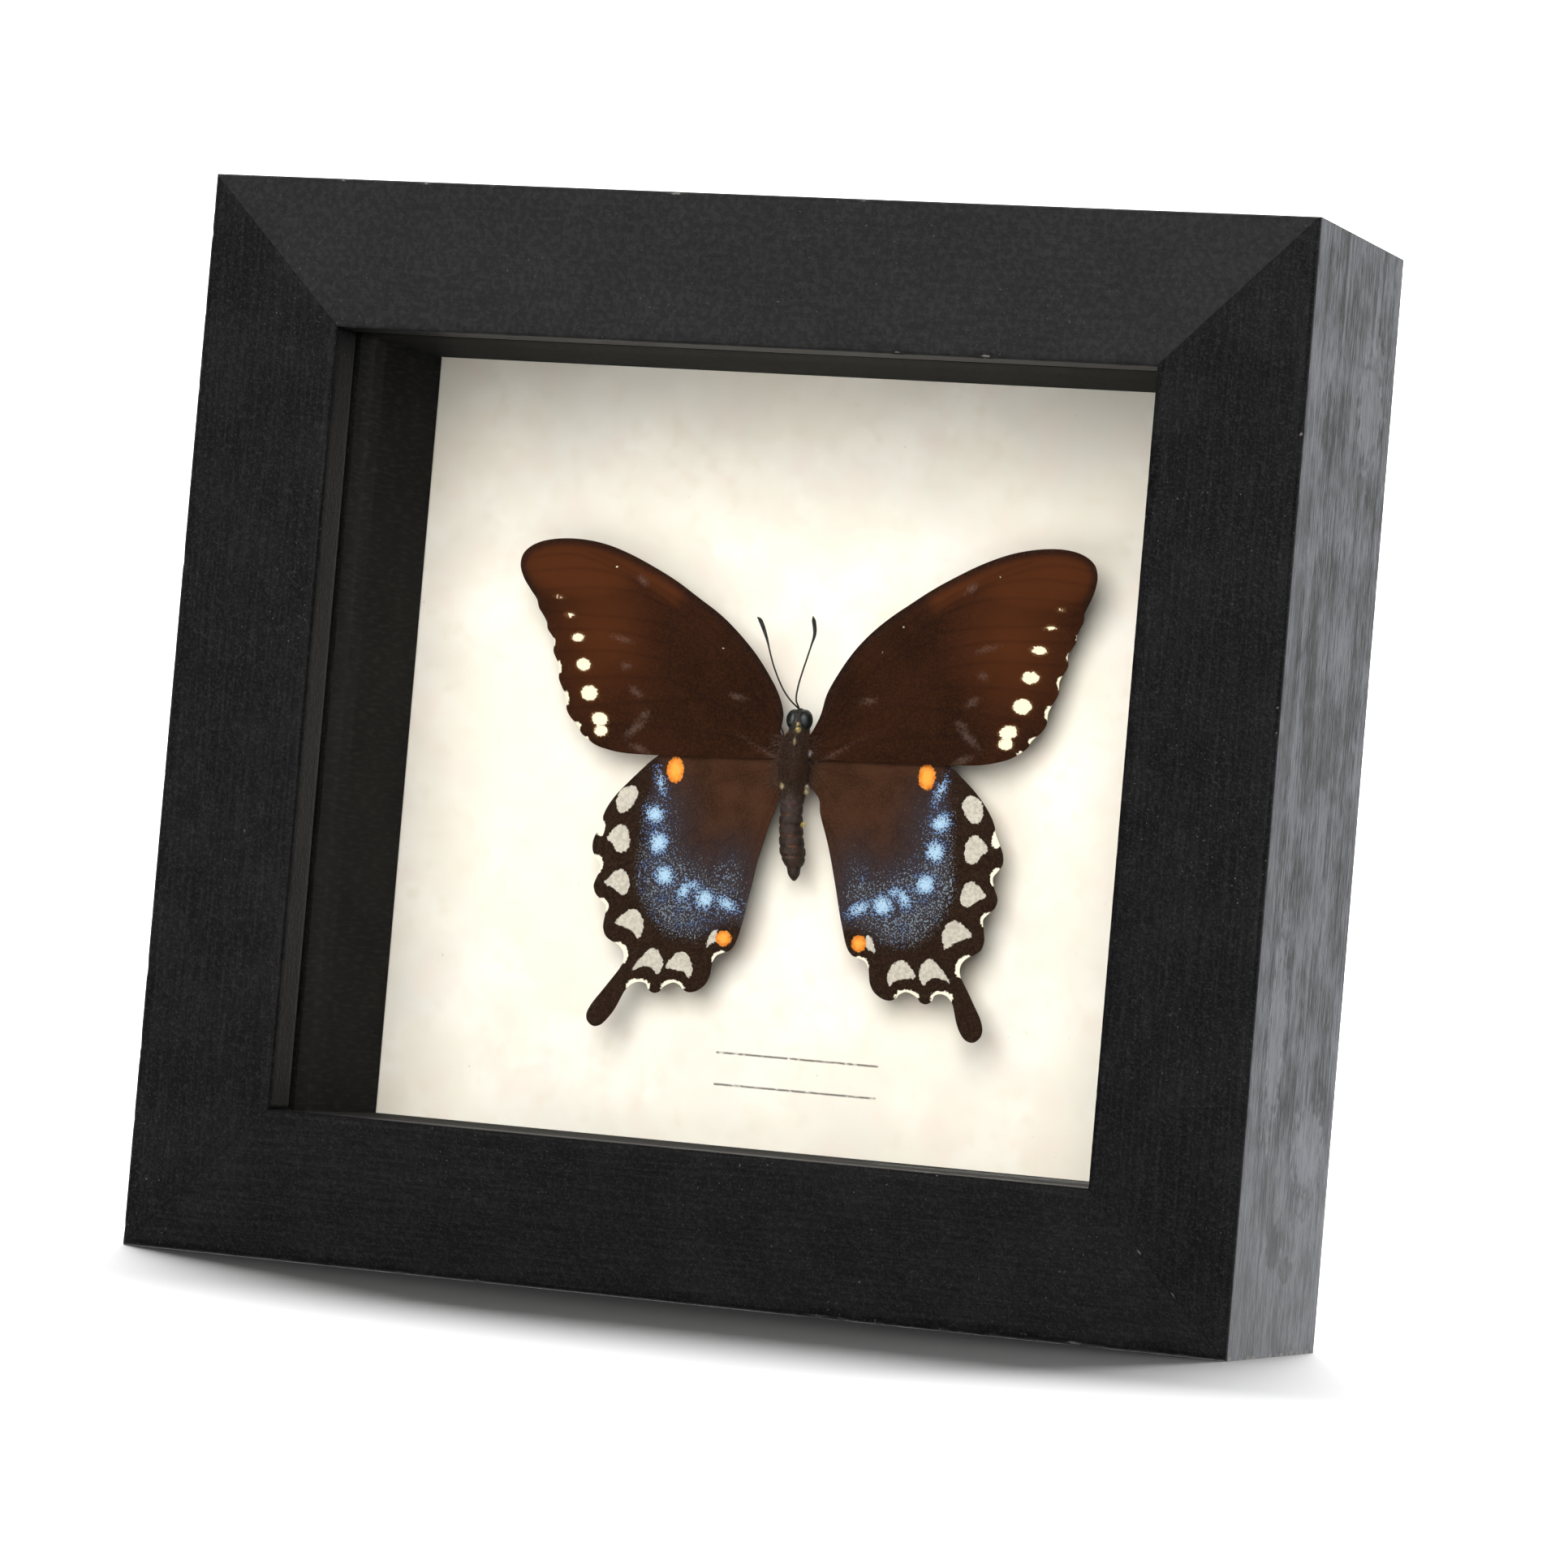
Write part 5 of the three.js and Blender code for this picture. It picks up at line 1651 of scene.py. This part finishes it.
def antenna_growth():
    growth = Growth("antenna")
    stalk, club = growth.size("Stalk radius"), growth.size("Club radius")
    ring, wave = growth.size("Ring length"), growth.size("Wave")
    fine = {"Curve": growth.path(), "Length": growth.calc("DIVIDE", ring, 5.0)}
    curve = growth.add("GeometryNodeResampleCurve", fine, mode="LENGTH")
    share = growth.add("GeometryNodeSplineParameter", {})
    along = growth.add("GeometryNodeSplineParameter", {}, out="Length")
    swell = {"Value": share, "From Min": 0.66, "From Max": 0.92, "To Min": stalk, "To Max": club}
    thick = growth.add("ShaderNodeMapRange", swell, interpolation_type="SMOOTHSTEP")
    taper = {"Value": share, "From Min": 0.955, "From Max": 1.0, "To Min": 1.0, "To Max": 0.35}
    end = growth.add("ShaderNodeMapRange", taper, interpolation_type="SMOOTHSTEP")
    phase = growth.calc("MULTIPLY", growth.calc("DIVIDE", along, ring), 2 * math.pi)
    waved = growth.calc("ADD", growth.calc("MULTIPLY", growth.calc("COSINE", phase), wave), 1.0)
    radius = growth.calc("MULTIPLY", growth.calc("MULTIPLY", thick, end), waved)
    return growth.finish(growth.sweep(curve, radius, 12))


def antenna_finish():
    horn = Finish("antenna_horn", {"Specular IOR Level": 0.2})
    tone = horn.noise(horn.place(), 0.4, 2)
    return horn.done(horn.mix(tone, screen(7, 6, 5), screen(18, 16, 12)), 0.42)


antenna, horn = antenna_growth(), antenna_finish()
for side_name, path in ANTENNA_PATHS.items():
    sideways, v = smooth_path(path, 8).T
    bow = -ANTENNA_LIFT * bend((7.9, 9.6), v)
    source = path_object(f"antenna_{side_name}_path", [to_case(np.stack([sideways, bow, v], 1))])
    piece = grow(
        f"antenna_{side_name}_ringed", source, antenna, horn, "antenna_black",
        **{"Stalk radius": ANTENNA["stalk"] * MM, "Club radius": ANTENNA["club"] * MM,
           "Ring length": ANTENNA["ring"] * MM, "Wave": ANTENNA["wave"]},
    )
    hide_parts(f"antenna_{side_name}")
    bpy.data.objects.remove(source)

# %% [markdown]
# ## The glue
# A dab of clear glue holds the thorax on the board. It set as a short thick drop with a waist,
# slightly uneven, so it is a turned shape whose radius wanders a little round the middle.

# %% Glue
GLUE = {"top": 1.5, "waist": 1.3, "foot": 2.2, "rings": 24, "sides": 40, "wander": 0.12}


def turned_shape(profile, sides, middle, uneven=0.0):
    """Points and faces of a closed turned shape along the depth axis, from (radius, depth) pairs."""
    points = []
    for radius, depth in profile:
        for side in range(sides):
            angle = 2 * math.pi * side / sides
            cosine, sine = math.cos(angle), math.sin(angle)
            reach = radius * (1 + uneven * noise.noise(Vector((cosine, sine, depth * 0.6))))
            points.append((middle[0] + reach * cosine, depth, middle[1] + reach * sine))
    return points, tube(len(profile), sides)


def glue():
    faint_yellow = (0.96, 0.94, 0.87, 1)
    clear = {"Base Color": faint_yellow, "Roughness": 0.06, "IOR": 1.48, "Transmission Weight": 1.0}
    drop = Finish("clear_glue", clear)
    drop.emboss(drop.noise(drop.place(), 0.8, 2), 0.06, 0.6)
    inside_thorax = THORAX_HALF_WIDTH * BODY_DEPTH_SHARE - 0.25
    depths = np.linspace(inside_thorax, WING_STANDOFF - 0.02, GLUE["rings"])
    share = np.linspace(0, 1, GLUE["rings"])
    radii = GLUE["waist"] + (GLUE["top"] - GLUE["waist"]) * (1 - share) ** 3
    radii = radii + (GLUE["foot"] - GLUE["waist"]) * share**4
    points, faces = turned_shape(
        list(zip(radii, depths)), GLUE["sides"], (float(body_middle(0)), 0.0), GLUE["wander"]
    )
    piece = add_piece("glue_drop", to_case(points), faces, drop.material, smooth=60)
    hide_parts("glue_dab")


glue()

# %% [markdown]
# ## The back
# Behind, a hardboard panel closes the case, held by eight flat steel points pushed into the wood.
# A sawtooth hanger is nailed to the top rail. Hardboard is pressed wood fibre, brown and smooth
# with darker flecks. The steel is zinc plated: grey with soft crystal patches and fine scratches.

# %% Hardboard
def hardboard():
    board = Finish("hardboard", {"Specular IOR Level": 0.3})
    place = board.place()
    fibre = board.noise(place, 0.7, 6)
    cloud = board.noise(place, 14, 3)
    fleck = board.between(board.noise(place, 0.5, 2), 0.66, 0.74)
    base = board.mix(board.between(cloud, 0.3, 0.7), screen(80, 54, 34), screen(88, 61, 39))
    base = board.tint(base, board.between(fibre, 0.4, 0.7), 0.5, 112, 82, 54)
    base = board.tint(base, fleck, 0.7, 44, 29, 18)
    board.emboss(fibre, 0.06, 0.7)
    return board.done(base, 0.62)


dress(hardboard(), "back_panel")

# %% Zinc
def zinc_plate():
    steel = Finish("zinc_plate", {"Metallic": 1.0})
    place = steel.place()
    crystal = steel.cells(place, 1.6)
    scratch = steel.noise(place, 0.25, 3, stretch=(0.08, 1, 1))
    base = steel.mix(crystal, screen(104, 106, 107), screen(128, 129, 128))
    dull = steel.between(steel.noise(place, 3.5, 3), 0.5, 0.72)
    base = steel.tint(base, dull, 0.4, 82, 80, 75)
    steel.emboss(scratch, 0.03, 0.5)
    rough = steel.calc("ADD", steel.calc("MULTIPLY", dull, 0.2), 0.3)
    return steel.done(base, rough)


zinc = zinc_plate()
dress(zinc, *(f"framers_point_{rail_side}_{end}" for rail_side in RAILS for end in "ab"))

# %% [markdown]
# ## The hanger and its nails
# The hanger is a strip with a row of teeth, bowed off the wood between its two nails. It is made
# like a wing: the toothed outline is filled with points, the bow is a function of the place, and a
# second sheet behind makes it solid. The nail heads are turned, with a low dome.

# %% Hanger
HANGER = {"length": 46, "height": 9, "thickness": 0.8, "bow": 1.2, "flat_from": 17.5, "bowed_to": 10}
TEETH = {"count": 13, "pitch": 1.95, "depth": 1.6}
NAIL = {"spread": 20, "head": 1.5, "height": 0.6, "shank": 0.6, "tip": 1, "dome": 0.45}
NAIL_SIDES, DOME_STEPS = 32, 8


def hanger():
    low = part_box("sawtooth_hanger")[0] / MM
    half, height = HANGER["length"] / 2, HANGER["height"]
    outline = [(half, 0), (half, height), (-half, height), (-half, 0)]
    for tooth in range(TEETH["count"]):
        start = (tooth - TEETH["count"] / 2) * TEETH["pitch"]
        outline += [(start, 0), (start + TEETH["pitch"] / 2, TEETH["depth"])]
    outline.append((TEETH["count"] * TEETH["pitch"] / 2, 0))
    flat, faces = filled(np.array(outline, float))
    x, z = flat.T
    bow = HANGER["bow"] * (1 - bend((HANGER["bowed_to"], HANGER["flat_from"]), np.abs(x)))
    sheets = [np.stack([x, low.y + bow + depth, low.z + z], 1) for depth in (0, HANGER["thickness"])]
    faces = shell(faces, len(flat))
    piece = add_piece("hanger_strip", np.concatenate(sheets), faces, zinc)
    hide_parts("sawtooth_hanger")


def nail(side, sign):
    low, high = (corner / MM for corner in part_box(f"hanger_nail_{side}"))
    middle = (sign * NAIL["spread"], (low.z + high.z) / 2)
    under_head, dome_foot = high.y - NAIL["height"], high.y - NAIL["dome"]
    profile = [
        (0.05, low.y), (NAIL["shank"], low.y + NAIL["tip"]),
        (NAIL["shank"], under_head), (NAIL["head"] - 0.1, under_head),
    ]
    for step in range(DOME_STEPS + 1):
        turn = math.pi / 2 * step / DOME_STEPS
        radius = NAIL["head"] * math.cos(turn) + 0.02
        profile.append((radius, dome_foot + NAIL["dome"] * math.sin(turn)))
    points, faces = turned_shape(profile, NAIL_SIDES, middle)
    piece = add_piece(f"nail_{side}", points, faces, zinc)
    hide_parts(f"hanger_nail_{side}")


hanger()
for side_name, side_sign in SIDES.items():
    nail(side_name, side_sign)
